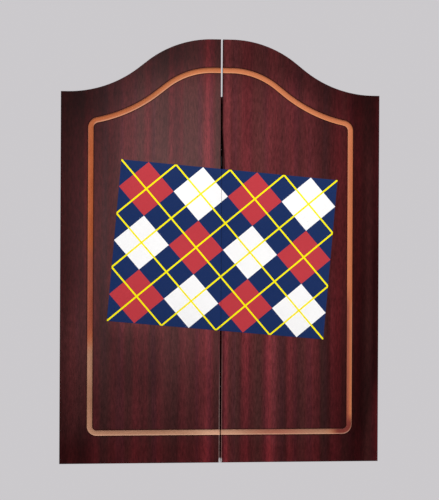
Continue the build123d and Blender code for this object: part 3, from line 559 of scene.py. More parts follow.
def arch_run(inset, x_from, n1=70, n2=60):
    """The arch at an inward offset, from the point at x = x_from on the concave arc to the crown's flat."""
    r2, r1 = DOOR["r2"] - inset, DOOR["r1"] + inset
    t2 = (C2[0] + r2 * NRM[0], C2[1] + r2 * NRM[1])
    t1 = (C1[0] - r1 * NRM[0], C1[1] - r1 * NRM[1])
    start = (x_from, C1[1] - math.sqrt(r1 * r1 - (C1[0] - x_from) ** 2))
    a0 = math.atan2(start[1] - C1[1], start[0] - C1[0])
    a1 = math.atan2(t1[1] - C1[1], t1[0] - C1[0])
    c = arc_pts(C1, r1, a0, a1 if a1 < 0 else a1 - 2 * math.pi, n1)
    v = arc_pts(C2, r2, LEAN, math.pi / 2, n2)
    return chain(c, seg(t1, t2, 6.0), v)


def seam_run(top, bottom, d, pull):
    zs = [top] + [z for z in np.arange(370.0, -300.0, -7.0 if pull else -30.0) if bottom + 10 < z < top - 3] + [-301.5, -303.2, -305.0] + [bottom]
    return [(edge_x(z, d, pull), float(z)) for z in zs]


def outline(d, pull=False):
    D = DOOR
    top = D["crown"] - d
    run = seam_run(top, D["bottom"] + d, d, pull)
    near = [(run[-1][0] + k, D["bottom"] + d) for k in (0.0, 0.4, 0.8, 1.2, 1.7, 2.4, 3.6, 6.0, 12.0)]
    return chain(near, seg(near[-1], (D["w"] - d, D["bottom"] + d)),
                 seg((D["w"] - d, D["bottom"] + d), (D["w"] - d, D["shoulder"] - d)),
                 seg((D["w"] - d, D["shoulder"] - d), (D["cx"], D["shoulder"] - d)),
                 arch_run(d, D["cx"]), seg((D["flat"], top), run[0]), run)[:-1]


INLAY_IN, INLAY_W, INLAY_X, INLAY_Z, TOP_R, LOW_R = 52.0, 9.0, 217.5, -258.0, 13.5, 11.5


def line_path(off, r_top, r_bot, x_end=None):
    """The inlaid line's path, off mm outwards from its centre line, crown to bottom seam."""
    inset = INLAY_IN - off
    X, Z = INLAY_X + off, INLAY_Z - off
    R = DOOR["r1"] + inset
    fx = X - r_top
    fz = C1[1] - math.sqrt((R + r_top) ** 2 - (C1[0] - fx) ** 2)
    dx, dz = C1[0] - fx, C1[1] - fz
    k = r_top / math.hypot(dx, dz)
    touch = (fx + dx * k, fz + dz * k)
    a_t = math.atan2(touch[1] - fz, touch[0] - fx)
    top = DOOR["crown"] - inset
    end = x_end if x_end is not None else -5.0
    e0 = end(top) if callable(end) else end
    e1 = end(Z) if callable(end) else end
    run = arch_run(inset, touch[0])[::-1]
    return chain(seg((e0, top), (DOOR["flat"], top), 6.0), run, arc_pts((fx, fz), r_top, a_t, 0.0, 14),
                 seg((X, fz), (X, Z + r_bot), 10.0), arc_pts((X - r_bot, Z + r_bot), r_bot, 0.0, -math.pi / 2, 16),
                 seg((X - r_bot, Z), (e1, Z), 8.0))


def edge_path(off):
    return line_path(off, TOP_R + off, LOW_R + off)


def in_poly(pts, poly):
    pts = np.asarray(pts, float)
    poly = np.asarray(poly, float)
    x, z = pts[:, 0], pts[:, 1]
    inside = np.zeros(len(pts), bool)
    n = len(poly)
    for i in range(n):
        x0, z0 = poly[i]
        x1, z1 = poly[(i + 1) % n]
        if z0 == z1:
            continue
        c = (z0 > z) != (z1 > z)
        xi = (x1 - x0) * (z - z0) / (z1 - z0) + x0
        inside ^= c & (x < xi)
    return inside


def dist_to(pts, path):
    pts = np.asarray(pts, float)
    a = np.asarray(path[:-1], float)
    b = np.asarray(path[1:], float)
    best = np.full(len(pts), 1e9)
    for p, q in zip(a, b):
        d = q - p
        t = np.clip(((pts - p) @ d) / max(d @ d, 1e-12), 0, 1)
        best = np.minimum(best, np.hypot(*(pts - (p + t[:, None] * d)).T))
    return best


def onto(q, path):
    """The point on a closed path nearest to q."""
    a = np.asarray(path, float)
    b = np.roll(a, -1, axis=0)
    d = b - a
    t = np.clip(((q - a) * d).sum(1) / np.maximum((d * d).sum(1), 1e-12), 0, 1)
    c = a + t[:, None] * d
    return c[int(np.argmin(np.hypot(*(c - q).T)))]


def seam_dist(pts, pull=False):
    pts = np.asarray(pts, float)
    x, z = pts[:, 0], pts[:, 1]
    d = x - seam_x(z) - nick(z)
    return np.minimum(d, np.hypot(x - PX, z - PZ) - PR) if pull else d


def out_dist(pts, pull=False):
    """Distance inwards from the door's outline, mm."""
    pts = np.asarray(pts, float)
    x, z = pts[:, 0], pts[:, 1]
    d = np.minimum(DOOR["w"] - x, z - DOOR["bottom"])
    d = np.minimum(d, seam_dist(pts, pull))
    along = (x - C2[0]) * NRM[0] + (z - C2[1]) * NRM[1]
    cross = (x - C2[0]) * NRM[1] - (z - C2[1]) * NRM[0]
    cross1 = (x - C1[0]) * NRM[1] - (z - C1[1]) * NRM[0]
    convex = DOOR["r2"] - np.hypot(x - C2[0], z - C2[1])
    concave = np.hypot(x - C1[0], z - C1[1]) - DOOR["r1"]
    straight = DOOR["r2"] - along
    arch = np.where(cross <= 0, convex, np.where(cross1 >= 0, concave, straight))
    arch = np.where(x < DOOR["flat"], DOOR["crown"] - z, arch)
    arch = np.where(x > DOOR["cx"], DOOR["shoulder"] - z, arch)
    return np.minimum(d, arch)


def face_height(pts, pull=False):
    """Distance of the door's front surface from the wall, mm, with the eased edge."""
    r = DOOR["ease"]
    d = np.clip(out_dist(pts, pull), 0, r)
    return DOOR["front"] - r + np.sqrt(np.maximum(r * r - (r - d) ** 2, 0))


def cdt(loops, chains):
    vs, es = [], []
    for l in loops:
        b = len(vs)
        vs += [Vector(p) for p in l]
        es += [(b + i, b + (i + 1) % len(l)) for i in range(len(l))]
    for c in chains:
        b = len(vs)
        vs += [Vector(p) for p in c]
        es += [(b + i, b + i + 1) for i in range(len(c) - 1)]
    r = delaunay_2d_cdt(vs, es, [], 0, 1e-5, False)
    pts = np.array([tuple(v) for v in r[0]])
    tris = []
    for f in r[2]:
        (ax, az), (bx, bz), (cx, cz) = pts[f[0]], pts[f[1]], pts[f[2]]
        long = max(math.hypot(bx - ax, bz - az), math.hypot(cx - bx, cz - bz), math.hypot(ax - cx, az - cz))
        # slivers along a straight run of the outline are left out
        if abs((bx - ax) * (cz - az) - (bz - az) * (cx - ax)) > 2e-4 * long:
            tris.append(tuple(f))
    return pts, tris


def door_panel(side, sgn, mat):
    pull = sgn > 0
    r = DOOR["ease"]
    steps = [0.0] + [r * (1 - math.cos(math.radians(a))) for a in (18, 36, 50, 62, 74)] + [r, r + 0.25, r + 0.7, r + 1.3]
    loops = [outline(d, pull) for d in steps]
    offs = (9.0, 7.0, 6.0, 5.2, 4.5, 4.46, -4.46, -4.5, -5.2, -6.0, -7.0, -9.0)
    chains = [edge_path(o) for o in offs]
    pts, tris = cdt(loops, chains)
    base = outline(0.0, pull)
    cen = np.array([pts[list(t)].mean(0) for t in tris])
    keep = in_poly(cen, base)
    tris = [t for t, k in zip(tris, keep) if k]
    used = sorted({i for t in tris for i in t})
    remap = {o: i for i, o in enumerate(used)}
    pts = pts[used]
    tris = [tuple(remap[i] for i in t) for t in tris]
    groove = in_poly(pts, edge_path(4.48)) & ~in_poly(pts, edge_path(-4.48))
    h = face_height(pts, pull)
    h = np.where(groove, np.minimum(h, DOOR["front"] - 3.0), h)
    # dark along the inlay groove's edges and full inside the groove: partly stain, partly painted shade
    gap = np.minimum(dist_to(pts, edge_path(4.5)), dist_to(pts, edge_path(-4.5)))
    groove_stain_and_shade = np.where(groove, 1.0, np.exp(-(gap / 1.2) ** 2))
    od = out_dist(pts, pull)
    # painted shade on the eased edges round the outline
    edge = np.clip(1 - od / 1.2, 0, 1)
    # painted highlight along the eased meeting edges
    sd = seam_dist(pts, pull)
    z = pts[:, 1]
    start = -66.0 if pull else -126.0
    amount = np.clip((start - z) / 90.0, 0, 1) * np.clip(1.1 - np.abs(sd - 1.28) / 0.50, 0, 1)
    # the lower meeting corners are paler, nearly white at the very bottom
    worn = np.clip((-300.5 - z) / 3.0, 0, 1) * np.clip(0.9 - sd / 0.6, 0, 1)
    pale_seam = np.clip(np.maximum(amount, worn), 0, 1)
    # a wider band of painted shade along the lower meeting edges, cleared where the seam carries its painted highlight
    edge = np.maximum(edge, np.clip(1.6 - sd / 0.62, 0, 1) * np.clip((start - z) / 60.0, 0, 1) * 1.6) * (1 - pale_seam)
    n = len(pts)
    verts = [(sgn * p[0] * MM, -hh * MM, p[1] * MM) for p, hh in zip(pts, h)]
    faces = list(tris)
    # side walls and back: two more rings under the outline
    border = [i for i in range(n) if od[i] < 2e-3]
    ordered = []
    for k in range(len(base)):
        a, b = np.array(base[k]), np.array(base[(k + 1) % len(base)])
        d = b - a
        L = np.hypot(*d)
        if L < 1e-6:
            continue
        for i in border:
            t = (pts[i] - a) @ d / (L * L)
            off = abs((pts[i] - a)[0] * d[1] - (pts[i] - a)[1] * d[0]) / L
            if -1e-6 <= t < 1 - 1e-6 and off < 2e-3:
                ordered.append((k + t, i))
    ordered.sort()
    seen = []
    for _, i in ordered:
        if i not in seen:
            seen.append(i)
    groove_stain_and_shade, edge, pale_seam = list(groove_stain_and_shade), list(edge), list(pale_seam)
    inner = outline(0.6, pull)
    rings = [seen]
    for depth, inset in ((DOOR["back"] + 0.6, False), (DOOR["back"], True)):
        row = []
        for i in seen:
            px, pz = onto(pts[i], inner) if inset else pts[i]
            row.append(len(verts))
            verts.append((sgn * px * MM, -depth * MM, pz * MM))
            groove_stain_and_shade.append(0.0)
            # the side walls carry half of the painted edge shade
            edge.append(0.5)
            pale_seam.append(0.0)
        rings.append(row)
    for a, b in zip(rings[:-1], rings[1:]):
        for k in range(len(a)):
            k2 = (k + 1) % len(a)
            faces.append((a[k], a[k2], b[k2], b[k]))
    faces.append(tuple(rings[-1]))
    return mesh_obj(f"{side}_door_face", verts, faces, mat, 30.0, {"groove_stain_and_shade": groove_stain_and_shade, "edge": edge, "pale_seam": pale_seam})


def door_inlay(side, sgn, mat):
    path = line_path(0.0, TOP_R, LOW_R, x_end=lambda z: seam_x(z) + 0.12)
    pts = np.array(path)
    tan = np.gradient(pts, axis=0)
    tan /= np.hypot(*tan.T)[:, None]
    nrm = np.stack([-tan[:, 1], tan[:, 0]], 1)      # outwards for a path that runs clockwise
    dist = np.concatenate([[0], np.cumsum(np.hypot(*np.diff(pts, axis=0).T))])
    us = [-1.0, -0.97, -0.88, -0.7, -0.45, -0.15, 0.15, 0.45, 0.7, 0.88, 0.97, 1.0]
    top = 89.0 - 0.32
    verts, faces, across, along, lit_side = [], [], [], [], []
    rows = []
    for p, nn, s in zip(pts, nrm, dist):
        row = []
        # the painted highlight goes on the lower long edge, and on the inner one on the upright run; the other edge
        # gets painted shade
        flat = abs(nn[1])
        upright = 0.62 if sgn < 0 or p[1] > 0 else 0.62 - 1.45 * min(-p[1] / 45.0, 1.0)
        lean = nn[1] + (1 - flat) * upright
        for k, u in enumerate(us):
            q = p - nn * u * 4.47
            au = abs(u)
            h = top - 1.15 * (1 - au ** 2.6) - (0.12 if au > 0.99 else 0.0)
            row.append(len(verts))
            verts.append((sgn * q[0] * MM, -h * MM, q[1] * MM))
            across.append(u)
            lit_side.append(max(-1.0, min(1.0, u * lean)))
            along.append(s * MM + (2.0 if sgn > 0 else 0.0))
        for u in (1.0, -1.0):
            q = p - nn * u * 4.47
            row.append(len(verts))
            verts.append((sgn * q[0] * MM, -86.05 * MM, q[1] * MM))
            across.append(u)
            lit_side.append(0.0)
            along.append(s * MM)
        rows.append(row)
    m = len(rows[0])
    for a, b in zip(rows[:-1], rows[1:]):
        for k in range(m):
            k2 = (k + 1) % m
            faces.append((a[k], a[k2], b[k2], b[k]))
    faces.append(tuple(rows[0]))
    faces.append(tuple(rows[-1]))
    return mesh_obj(f"{side}_door_inlaid_line", verts, faces, mat, 40.0, {"across": across, "along": along, "lit_side": lit_side})


PRINT = dict(w=364.0, h=269.0, tilt=math.radians(-4.9), x=3.0, z=46.3, near=89.03, far=89.29, split=0.25)


def door_print(side, sgn, mat):
    """Stiff printed film that lies flat on the face and bridges half of the seam."""
    c, s = math.cos(PRINT["tilt"]), math.sin(PRINT["tilt"])
    w, h = PRINT["w"] / 2, PRINT["h"] / 2
    rect = [(p * c - q * s + PRINT["x"], p * s + q * c + PRINT["z"]) for p, q in ((-w, -h), (w, -h), (w, h), (-w, h))]
    rect = [(sgn * a, b) for a, b in rect]
    if sgn < 0:
        rect = rect[::-1]
    poly = []
    for i in range(4):
        a, b = rect[i], rect[(i + 1) % 4]
        fa, fb = a[0] - PRINT["split"], b[0] - PRINT["split"]
        if fa >= 0:
            poly.append(a)
        if fa * fb < 0:
            t = fa / (fa - fb)
            poly.append((a[0] + (b[0] - a[0]) * t, a[1] + (b[1] - a[1]) * t))
    dense = chain(*[seg(poly[i], poly[(i + 1) % len(poly)], 15.0) for i in range(len(poly))])[:-1]
    mid = np.mean(dense, axis=0)
    inner = [tuple(np.array(q) + (mid - np.array(q)) / np.hypot(*(mid - np.array(q))) * 0.12) for q in dense]
    pts, tris = cdt([dense, inner], [])
    cen = np.array([pts[list(t)].mean(0) for t in tris])
    keep = in_poly(cen, dense)
    tris = [t for t, k in zip(tris, keep) if k]
    n = len(pts)
    rim = dist_to(pts, dense + dense[:1]) < 0.02
    front = np.where(rim, PRINT["far"] - 0.05, PRINT["far"])
    verts = [(sgn * p[0] * MM, -f * MM, p[1] * MM) for p, f in zip(pts, front)]
    verts += [(sgn * p[0] * MM, -PRINT["near"] * MM, p[1] * MM) for p in pts]
    faces = list(tris) + [tuple(i + n for i in t[::-1]) for t in tris]
    count = {}
    for t in tris:
        for a, b in ((t[0], t[1]), (t[1], t[2]), (t[2], t[0])):
            count[frozenset((a, b))] = count.get(frozenset((a, b)), 0) + 1
    for t in tris:
        for a, b in ((t[0], t[1]), (t[1], t[2]), (t[2], t[0])):
            if count[frozenset((a, b))] == 1:
                faces.append((a, b, b + n, a + n))
    return mesh_obj(f"{side}_door_film", verts, faces, mat, 30.0)


# ------------------------------------------------------------------ doors
for side, sgn in SIDES:
    wood = mahogany(f"{side}_door_veneer", "Z", seed=3.7 if sgn < 0 else 11.2, door=side)
    panel = door_panel(side, sgn, wood)
    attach(panel, f"{side}_door")
    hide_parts(f"{side}_door_panel")
    strip = door_inlay(side, sgn, inlay_mat(f"{side}_inlay", side, 1.0 if sgn < 0 else 6.0))
    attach(strip, f"{side}_door")
    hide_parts(f"{side}_door_inlay")
    film = door_print(side, sgn, print_mat(f"{side}_film", PRINT["tilt"], PRINT["x"] * MM, PRINT["z"] * MM,
                                           PRINT["w"] * MM, PRINT["h"] * MM, 4, 3))
    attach(film, f"{side}_door")
    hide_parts(f"{side}_door_print")


# ------------------------------------------------------------------ the rest
def give(names, mat):
    for n in names:
        me = nodes[n].data
        me.materials.clear()
        me.materials.append(mat)


def body_mesh(node):
    """A welded bmesh copy of a CAD node's mesh."""
    bm = bmesh.new()
    bm.from_mesh(nodes[node].data)
    bmesh.ops.remove_doubles(bm, verts=bm.verts, dist=2e-6)
    return bm


def islands(node):
    """The bounding box of each separate solid in a CAD node."""
    bm = body_mesh(node)
    seen, out = set(), []
    for v in bm.verts:
        if v.index in seen:
            continue
        stack, pts = [v], []
        seen.add(v.index)
        while stack:
            w = stack.pop()
            pts.append(w.co.copy())
            for e in w.link_edges:
                o = e.other_vert(w)
                if o.index not in seen:
                    seen.add(o.index)
                    stack.append(o)
        p = np.array(pts)
        out.append((p.min(0), p.max(0)))
    bm.free()
    return out


def soften(node, body, mat, width=0.5, least=5.0):
    """Stands for a CAD node with its long outer arrises eased."""
    bm = body_mesh(node)
    bmesh.ops.dissolve_limit(bm, angle_limit=math.radians(0.6), use_dissolve_boundaries=False, verts=bm.verts, edges=bm.edges)
    lo_b, hi_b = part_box(node)

    def outer(p):
        return sum(1 for k in range(3) if min(abs(p[k] - lo_b[k]), abs(p[k] - hi_b[k])) < 2e-5)

    pick = [e for e in bm.edges if len(e.link_faces) == 2 and e.is_convex and e.calc_face_angle(0) > math.radians(50)
            and e.calc_length() > least * MM and outer(e.verts[0].co) >= 2 and outer(e.verts[1].co) >= 2]
    if pick:
        bmesh.ops.bevel(bm, geom=pick, offset=width * MM, offset_type="OFFSET", segments=2, profile=0.5,
                        affect="EDGES", clamp_overlap=False)
        bmesh.ops.remove_doubles(bm, verts=bm.verts, dist=2e-6)
        bmesh.ops.dissolve_degenerate(bm, dist=1e-6, edges=bm.edges)
    bmesh.ops.triangulate(bm, faces=[f for f in bm.faces if len(f.verts) > 4])
    for f in bm.faces:
        f.smooth = True
    for e in bm.edges:
        e.smooth = len(e.link_faces) == 2 and e.calc_face_angle(0) < math.radians(28)
    me = bpy.data.meshes.new(node + "_eased")
    bm.to_mesh(me)
    bm.free()
    me.materials.append(mat)
    o = bpy.data.objects.new(node + "_eased", me)
    coll.objects.link(o)
    o.matrix_world = nodes[node].matrix_world.copy()
    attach(o, body)
    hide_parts(node)
    return o


class Build:
    """Collects vertices and faces of one piece, in millimetres."""

    def __init__(self):
        self.v, self.f, self.mi = [], [], []

    def grid(self, rows, closed_u=False, closed_v=False, mat=0, place=None):
        b = len(self.v)
        n, m = len(rows), len(rows[0])
        for r in rows:
            for p in r:
                p = Vector(p)
                self.v.append((place @ p if place is not None else p) * MM)
        for i in range(n if closed_u else n - 1):
            for j in range(m if closed_v else m - 1):
                i2, j2 = (i + 1) % n, (j + 1) % m
                self.f.append((b + i * m + j, b + i * m + j2, b + i2 * m + j2, b + i2 * m + j))
                self.mi.append(mat)
        return b

    def cap(self, idx, mat=0):
        self.f.append(tuple(idx))
        self.mi.append(mat)

    def lathe(self, profile, n=20, mat=0, place=None):
        """Revolves (r, z) pairs about local Z. The first and last may have r = 0."""
        b = len(self.v)
        ids = []
        for r, z in profile:
            if r < 1e-6:
                p = Vector((0, 0, z))
                self.v.append((place @ p if place is not None else p) * MM)
                ids.append([len(self.v) - 1])
            else:
                row = []
                for k in range(n):
                    a = 2 * math.pi * k / n
                    p = Vector((r * math.cos(a), r * math.sin(a), z))
                    self.v.append((place @ p if place is not None else p) * MM)
                    row.append(len(self.v) - 1)
                ids.append(row)
        for p, q in zip(ids[:-1], ids[1:]):
            for k in range(n):
                k2 = (k + 1) % n
                if len(p) == 1 and len(q) == 1:
                    continue
                if len(p) == 1:
                    f = (p[0], q[k2], q[k])
                elif len(q) == 1:
                    f = (p[k], p[k2], q[0])
                else:
                    f = (p[k], p[k2], q[k2], q[k])
                self.f.append(f)
                self.mi.append(mat)
        return b

    def tube(self, path, r, n=8, closed=False, mat=0, up=(0, 1, 0), place=None):
        """A round wire along a path of points."""
        pts = [Vector(p) for p in path]
        m = len(pts)
        rows = []
        up = Vector(up)
        for i, p in enumerate(pts):
            if closed:
                t = pts[(i + 1) % m] - pts[i - 1]
            else:
                t = pts[min(i + 1, m - 1)] - pts[max(i - 1, 0)]
            t.normalize()
            side = t.cross(up).normalized()
            nrm = side.cross(t).normalized()
            rows.append([p + (side * math.cos(2 * math.pi * k / n) + nrm * math.sin(2 * math.pi * k / n)) * r for k in range(n)])
        b = self.grid(rows, closed_u=closed, closed_v=True, mat=mat, place=place)
        if not closed:
            self.cap([b + k for k in range(n)], mat)
            self.cap([b + (m - 1) * n + k for k in range(n)], mat)

    def make(self, name, mats, body, replaces=(), angle=35.0):
        o = mesh_obj(name, self.v, self.f, mats, angle, mat_index=self.mi)
        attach(o, body)
        if replaces:
            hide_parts(*replaces)
        return o


def frame_to(origin, zdir, xdir=(1, 0, 0)):
    """A placement whose local Z is zdir, in millimetres."""
    z = Vector(zdir).normalized()
    x = Vector(xdir)
    x = (x - z * x.dot(z)).normalized()
    y = z.cross(x)
    return Matrix(((x.x, y.x, z.x, origin[0]), (x.y, y.y, z.y, origin[1]), (x.z, y.z, z.z, origin[2]), (0, 0, 0, 1)))


# ------------------------------------------------------------------ materials
def metal_mat(name, c0, c1, rough=0.32, scale=60.0, brushed=None, tarnish=None, bump=0.05):
    m = Mat(name)
    n = m.noise(m.vmul(m.obj(), (scale,) * 3), 1.0, 4.0, 0.6)
    col = m.mix(m.rng(n, 0.35, 0.65), c0, c1)
    f = m.noise(m.vmul(m.obj(), brushed or (900, 900, 900)), 1.0, 2.0)
    if tarnish:
        spot = m.rng(m.noise(m.vmul(m.obj(), (230, 230, 230)), 1.0, 5.0, 0.7), 0.55, 0.72)
        col = m.mix(m.mul(spot, 0.6), col, tarnish)
    r = m.add(m.rng(n, 0.3, 0.7, rough - 0.06, rough + 0.1), m.rng(f, 0.3, 0.7, -0.04, 0.06))
    return m.set(col=col, rough=r, metal=1.0, normal=m.bump(f, bump, 0.0001))


def plastic_mat(name, c0, c1, rough=0.45, grain=2400.0, spec=0.35):
    m = Mat(name)
    n = m.noise(m.vmul(m.obj(), (40, 40, 40)), 1.0, 3.0)
    g = m.noise(m.vmul(m.obj(), (grain,) * 3), 1.0, 2.0)
    return m.set(col=m.mix(m.rng(n, 0.3, 0.7), c0, c1), rough=m.rng(n, 0.3, 0.7, rough - 0.05, rough + 0.08),
                 normal=m.bump(g, 0.12, 0.0001), spec=spec)


def pine_mat(name, seed=0.0):
    m = Mat(name)
    x, y, z = m.xyz()
    w = m.noise(m.vmul(m.obj(), (2.2, 6, 9)), 1.0, 2.0)
    a = m.mth("MULTIPLY_ADD", m.mth("SUBTRACT", w, 0.5), 0.03, z)
    rings = m.mth("FRACT", m.mul(m.add(a, m.mul(y, 0.6), seed), 190.0))
    late = m.mul(m.ss(rings, 0.35, 0.9), m.less(1.0, m.ss(rings, 0.93, 1.0)))
    f = m.noise(m.comb(m.mul(x, 40), m.mul(y, 900), m.mul(z, 900)), 1.0, 3.0, 0.6)
    col = m.mix(m.mul(late, 0.75), lin(212, 176, 124), lin(172, 120, 70))
    col = m.mix(m.rng(f, 0.35, 0.7, 0.0, 0.35), col, lin(232, 204, 158))
    return m.set(col=col, rough=m.rng(f, 0.3, 0.7, 0.58, 0.72), normal=m.bump(m.add(f, m.mul(late, 0.4)), 0.15, 0.0003), spec=0.25)


def hardboard_mat():
    """Pressed hardboard: smooth felted face in front, screen pattern on the back."""
    m = Mat("hardboard")
    x, y, z = m.xyz()
    f = m.noise(m.vmul(m.obj(), (620, 620, 620)), 1.0, 5.0, 0.7)
    clump = m.noise(m.vmul(m.obj(), (150, 150, 150)), 1.0, 4.0, 0.7)
    cloud = m.noise(m.vmul(m.obj(), (7, 7, 5)), 1.0, 4.0, 0.6, 0.4)
    hair = m.rng(m.noise(m.comb(m.mth("MULTIPLY_ADD", z, 240.0, m.mul(x, 700)), 3.0, m.mul(z, 150)), 1.0, 3.0, 0.7), 0.60, 0.74)
    wx = m.mth("PINGPONG", m.mul(x, 420.0), 1.0)
    wz = m.mth("PINGPONG", m.mul(z, 420.0), 1.0)
    rear = m.mth("GREATER_THAN", y, -0.0015)
    mesh = m.mul(m.mth("MAXIMUM", m.ss(wx, 0.55, 0.9), m.ss(wz, 0.55, 0.9)), rear)
    col = m.mix(m.rng(f, 0.32, 0.68), lin(88, 58, 37), lin(138, 98, 66))
    col = m.mix(m.rng(cloud, 0.36, 0.66, 0.0, 0.75), col, lin(98, 62, 38))
    col = m.mix(m.rng(clump, 0.50, 0.78, 0.0, 0.55), col, lin(158, 120, 84))
    col = m.mix(m.mul(hair, 0.5), col, lin(72, 46, 30))
    col = m.mix(m.mul(mesh, 0.42), col, lin(60, 39, 26))
    # handling marks near the edges of the sheet
    ax, az = m.mth("ABSOLUTE", x), m.mth("ABSOLUTE", z)
    rim = m.mth("MAXIMUM", m.ss(ax, .225, .254), m.ss(az, .27, .30))
    scuff = m.mul(rim, m.rng(m.noise(m.vmul(m.obj(), (40, 40, 16)), 1.0, 4.0, 0.7), 0.48, 0.62))
    col = m.mix(m.mul(scuff, 0.4), col, lin(64, 40, 26))
    return m.set(col=col, rough=m.rng(f, 0.3, 0.7, 0.62, 0.80), normal=m.bump(m.add(m.mul(f, 0.5), mesh), 0.35, 0.0003), spec=0.2)


def chipboard_mat():
    m = Mat("chipboard")
    c = m.voronoi(m.vmul(m.obj(), (330, 700, 330)), 1.0, "F1", "Color")
    r, g, b = m.xyz(c)
    d = m.voronoi(m.vmul(m.obj(), (330, 700, 330)), 1.0, "F1", "Distance")
    f = m.noise(m.vmul(m.obj(), (1200, 1200, 1200)), 1.0, 3.0)
    col = m.ramp(r, [(0.0, lin(118, 84, 52)), (0.35, lin(160, 122, 80)), (0.7, lin(186, 150, 104)), (1.0, lin(206, 176, 130))])
    col = m.mix(m.rng(f, 0.4, 0.7, 0.0, 0.4), col, lin(98, 70, 44))
    return m.set(col=col, rough=0.78, normal=m.bump(m.add(d, f), 0.3, 0.0003), spec=0.2)


def felt_mat():
    m = Mat("black_felt")
    f = m.noise(m.vmul(m.obj(), (1900, 1900, 1900)), 1.0, 4.0, 0.7)
    g = m.noise(m.vmul(m.obj(), (14, 14, 14)), 1.0, 3.0)
    fluff = m.rng(m.noise(m.vmul(m.obj(), (260, 260, 950)), 1.0, 3.0, 0.7), 0.62, 0.8)
    col = m.mix(m.rng(f, 0.3, 0.7), lin(14, 14, 15), lin(40, 40, 42))
    col = m.mix(m.mul(fluff, 0.3), col, lin(86, 84, 84))
    col = m.mix(m.rng(g, 0.4, 0.6, 0.0, 0.3), col, lin(22, 22, 24))
    return m.set(col=col, rough=0.95, normal=m.bump(f, 0.5, 0.0006), spec=0.1, sheen=0.25)


def slate_mat():
    m = Mat("slate_paint")
    x, y, z = m.xyz()
    haze = m.noise(m.vmul(m.obj(), (9, 9, 14)), 1.0, 5.0, 0.65, 0.6)
    wipe = m.noise(m.comb(m.mul(x, 30), m.mul(y, 10), m.mth("MULTIPLY_ADD", x, 130.0, m.mul(z, 260.0))), 1.0, 4.0, 0.7)
    grit = m.noise(m.vmul(m.obj(), (1500, 1500, 1500)), 1.0, 2.0)
    col = m.mix(m.rng(grit, 0.3, 0.7), lin(26, 29, 30), lin(38, 42, 43))
    col = m.mix(m.mul(m.rng(haze, 0.42, 0.72), m.rng(wipe, 0.35, 0.7, 0.15, 0.55)), col, lin(138, 142, 142))
    return m.set(col=col, rough=m.rng(haze, 0.3, 0.7, 0.66, 0.86), normal=m.bump(grit, 0.12, 0.0002), spec=0.25)


def chalk_line_mat():
    m = Mat("painted_line")
    g = m.noise(m.vmul(m.obj(), (900, 900, 900)), 1.0, 4.0, 0.7)
    col = m.mix(m.rng(g, 0.30, 0.62), lin(176, 172, 158), lin(228, 224, 208))
    return m.set(col=col, rough=0.8, normal=m.bump(g, 0.1, 0.0001), spec=0.15)


def sisal_mat():
    """Dyed end-grain sisal. The centre is the local origin; angle 0 is up."""
    m = Mat("sisal")
    x, y, z = m.xyz()
    # the colour boundaries run a little ragged between the fibres
    j = m.noise(m.vmul(m.obj(), (900, 900, 900)), 1.0, 2.0)
    jx = m.mth("MULTIPLY_ADD", m.mth("SUBTRACT", j, 0.5), 0.0016, x)
    rad = m.mth("SQRT", m.add(m.mul(jx, jx), m.mul(z, z)))
    ang = m.mth("ARCTAN2", jx, z)
    idx = m.mth("FLOOR", m.mth("MULTIPLY_ADD", ang, 10.0 / math.pi, 20.5))
    odd = m.mth("GREATER_THAN", m.mth("PINGPONG", idx, 1.0), 0.5)
    f1 = m.voronoi(m.vmul(m.obj(), (1500, 260, 1500)), 1.0, "F1", "Distance")
    f2 = m.noise(m.vmul(m.obj(), (2300, 300, 2300)), 1.0, 3.0, 0.7)
    blot = m.noise(m.vmul(m.obj(), (26, 26, 26)), 1.0, 4.0, 0.6)
    cream = m.mix(m.rng(f2, 0.32, 0.68), lin(178, 158, 118), lin(226, 210, 172))
    black = m.mix(m.rng(f2, 0.32, 0.72), lin(13, 13, 14), lin(44, 42, 40))
    red = m.mix(m.rng(f2, 0.32, 0.68), lin(128, 18, 24), lin(184, 38, 42))
    green = m.mix(m.rng(f2, 0.32, 0.68), lin(8, 70, 44), lin(24, 116, 74))
    bed = m.mix(odd, black, cream)
    ring = m.mix(odd, red, green)

    def between(a, b):
        return m.mul(m.mth("GREATER_THAN", rad, a), m.mth("LESS_THAN", rad, b))

    col = m.mix(m.add(between(.099, .107), between(.162, .170)), bed, ring)
    col = m.mix(m.mth("GREATER_THAN", rad, .170), col, black)
    col = m.mix(m.mth("LESS_THAN", rad, .0159), col, green)
    col = m.mix(m.mth("LESS_THAN", rad, .00635), col, red)
    # the side of the slab is undyed fibre under the band
    col = m.mix(m.mul(m.rng(blot, 0.4, 0.7), 0.22), col, lin(92, 78, 60))
    # closed-up dart holes, more of them round the treble ring and the bull
    hole = m.rng(m.voronoi(m.vmul(m.obj(), (300, 0, 300)), 1.0, "F1", "Distance"), 0.10, 0.16, 1.0, 0.0)
    pick = m.voronoi(m.vmul(m.obj(), (300, 0, 300)), 1.0, "F1", "Color")
    pr, _, _ = m.xyz(pick)
    zone = m.add(m.mul(m.bell(rad, .103, .022), 0.22), m.mul(m.bell(rad, 0.0, .02), 0.25), 0.05)
    worn = m.mul(hole, m.mth("LESS_THAN", pr, zone))
    col = m.mix(m.mul(worn, 0.75), col, lin(30, 24, 20))
    height = m.add(m.mul(f1, 0.6), m.mul(f2, 0.5), m.mul(worn, -1.2))
    return m.set(col=col, rough=m.rng(f2, 0.3, 0.7, 0.78, 0.92), normal=m.bump(height, 0.45, 0.0005), spec=0.15)


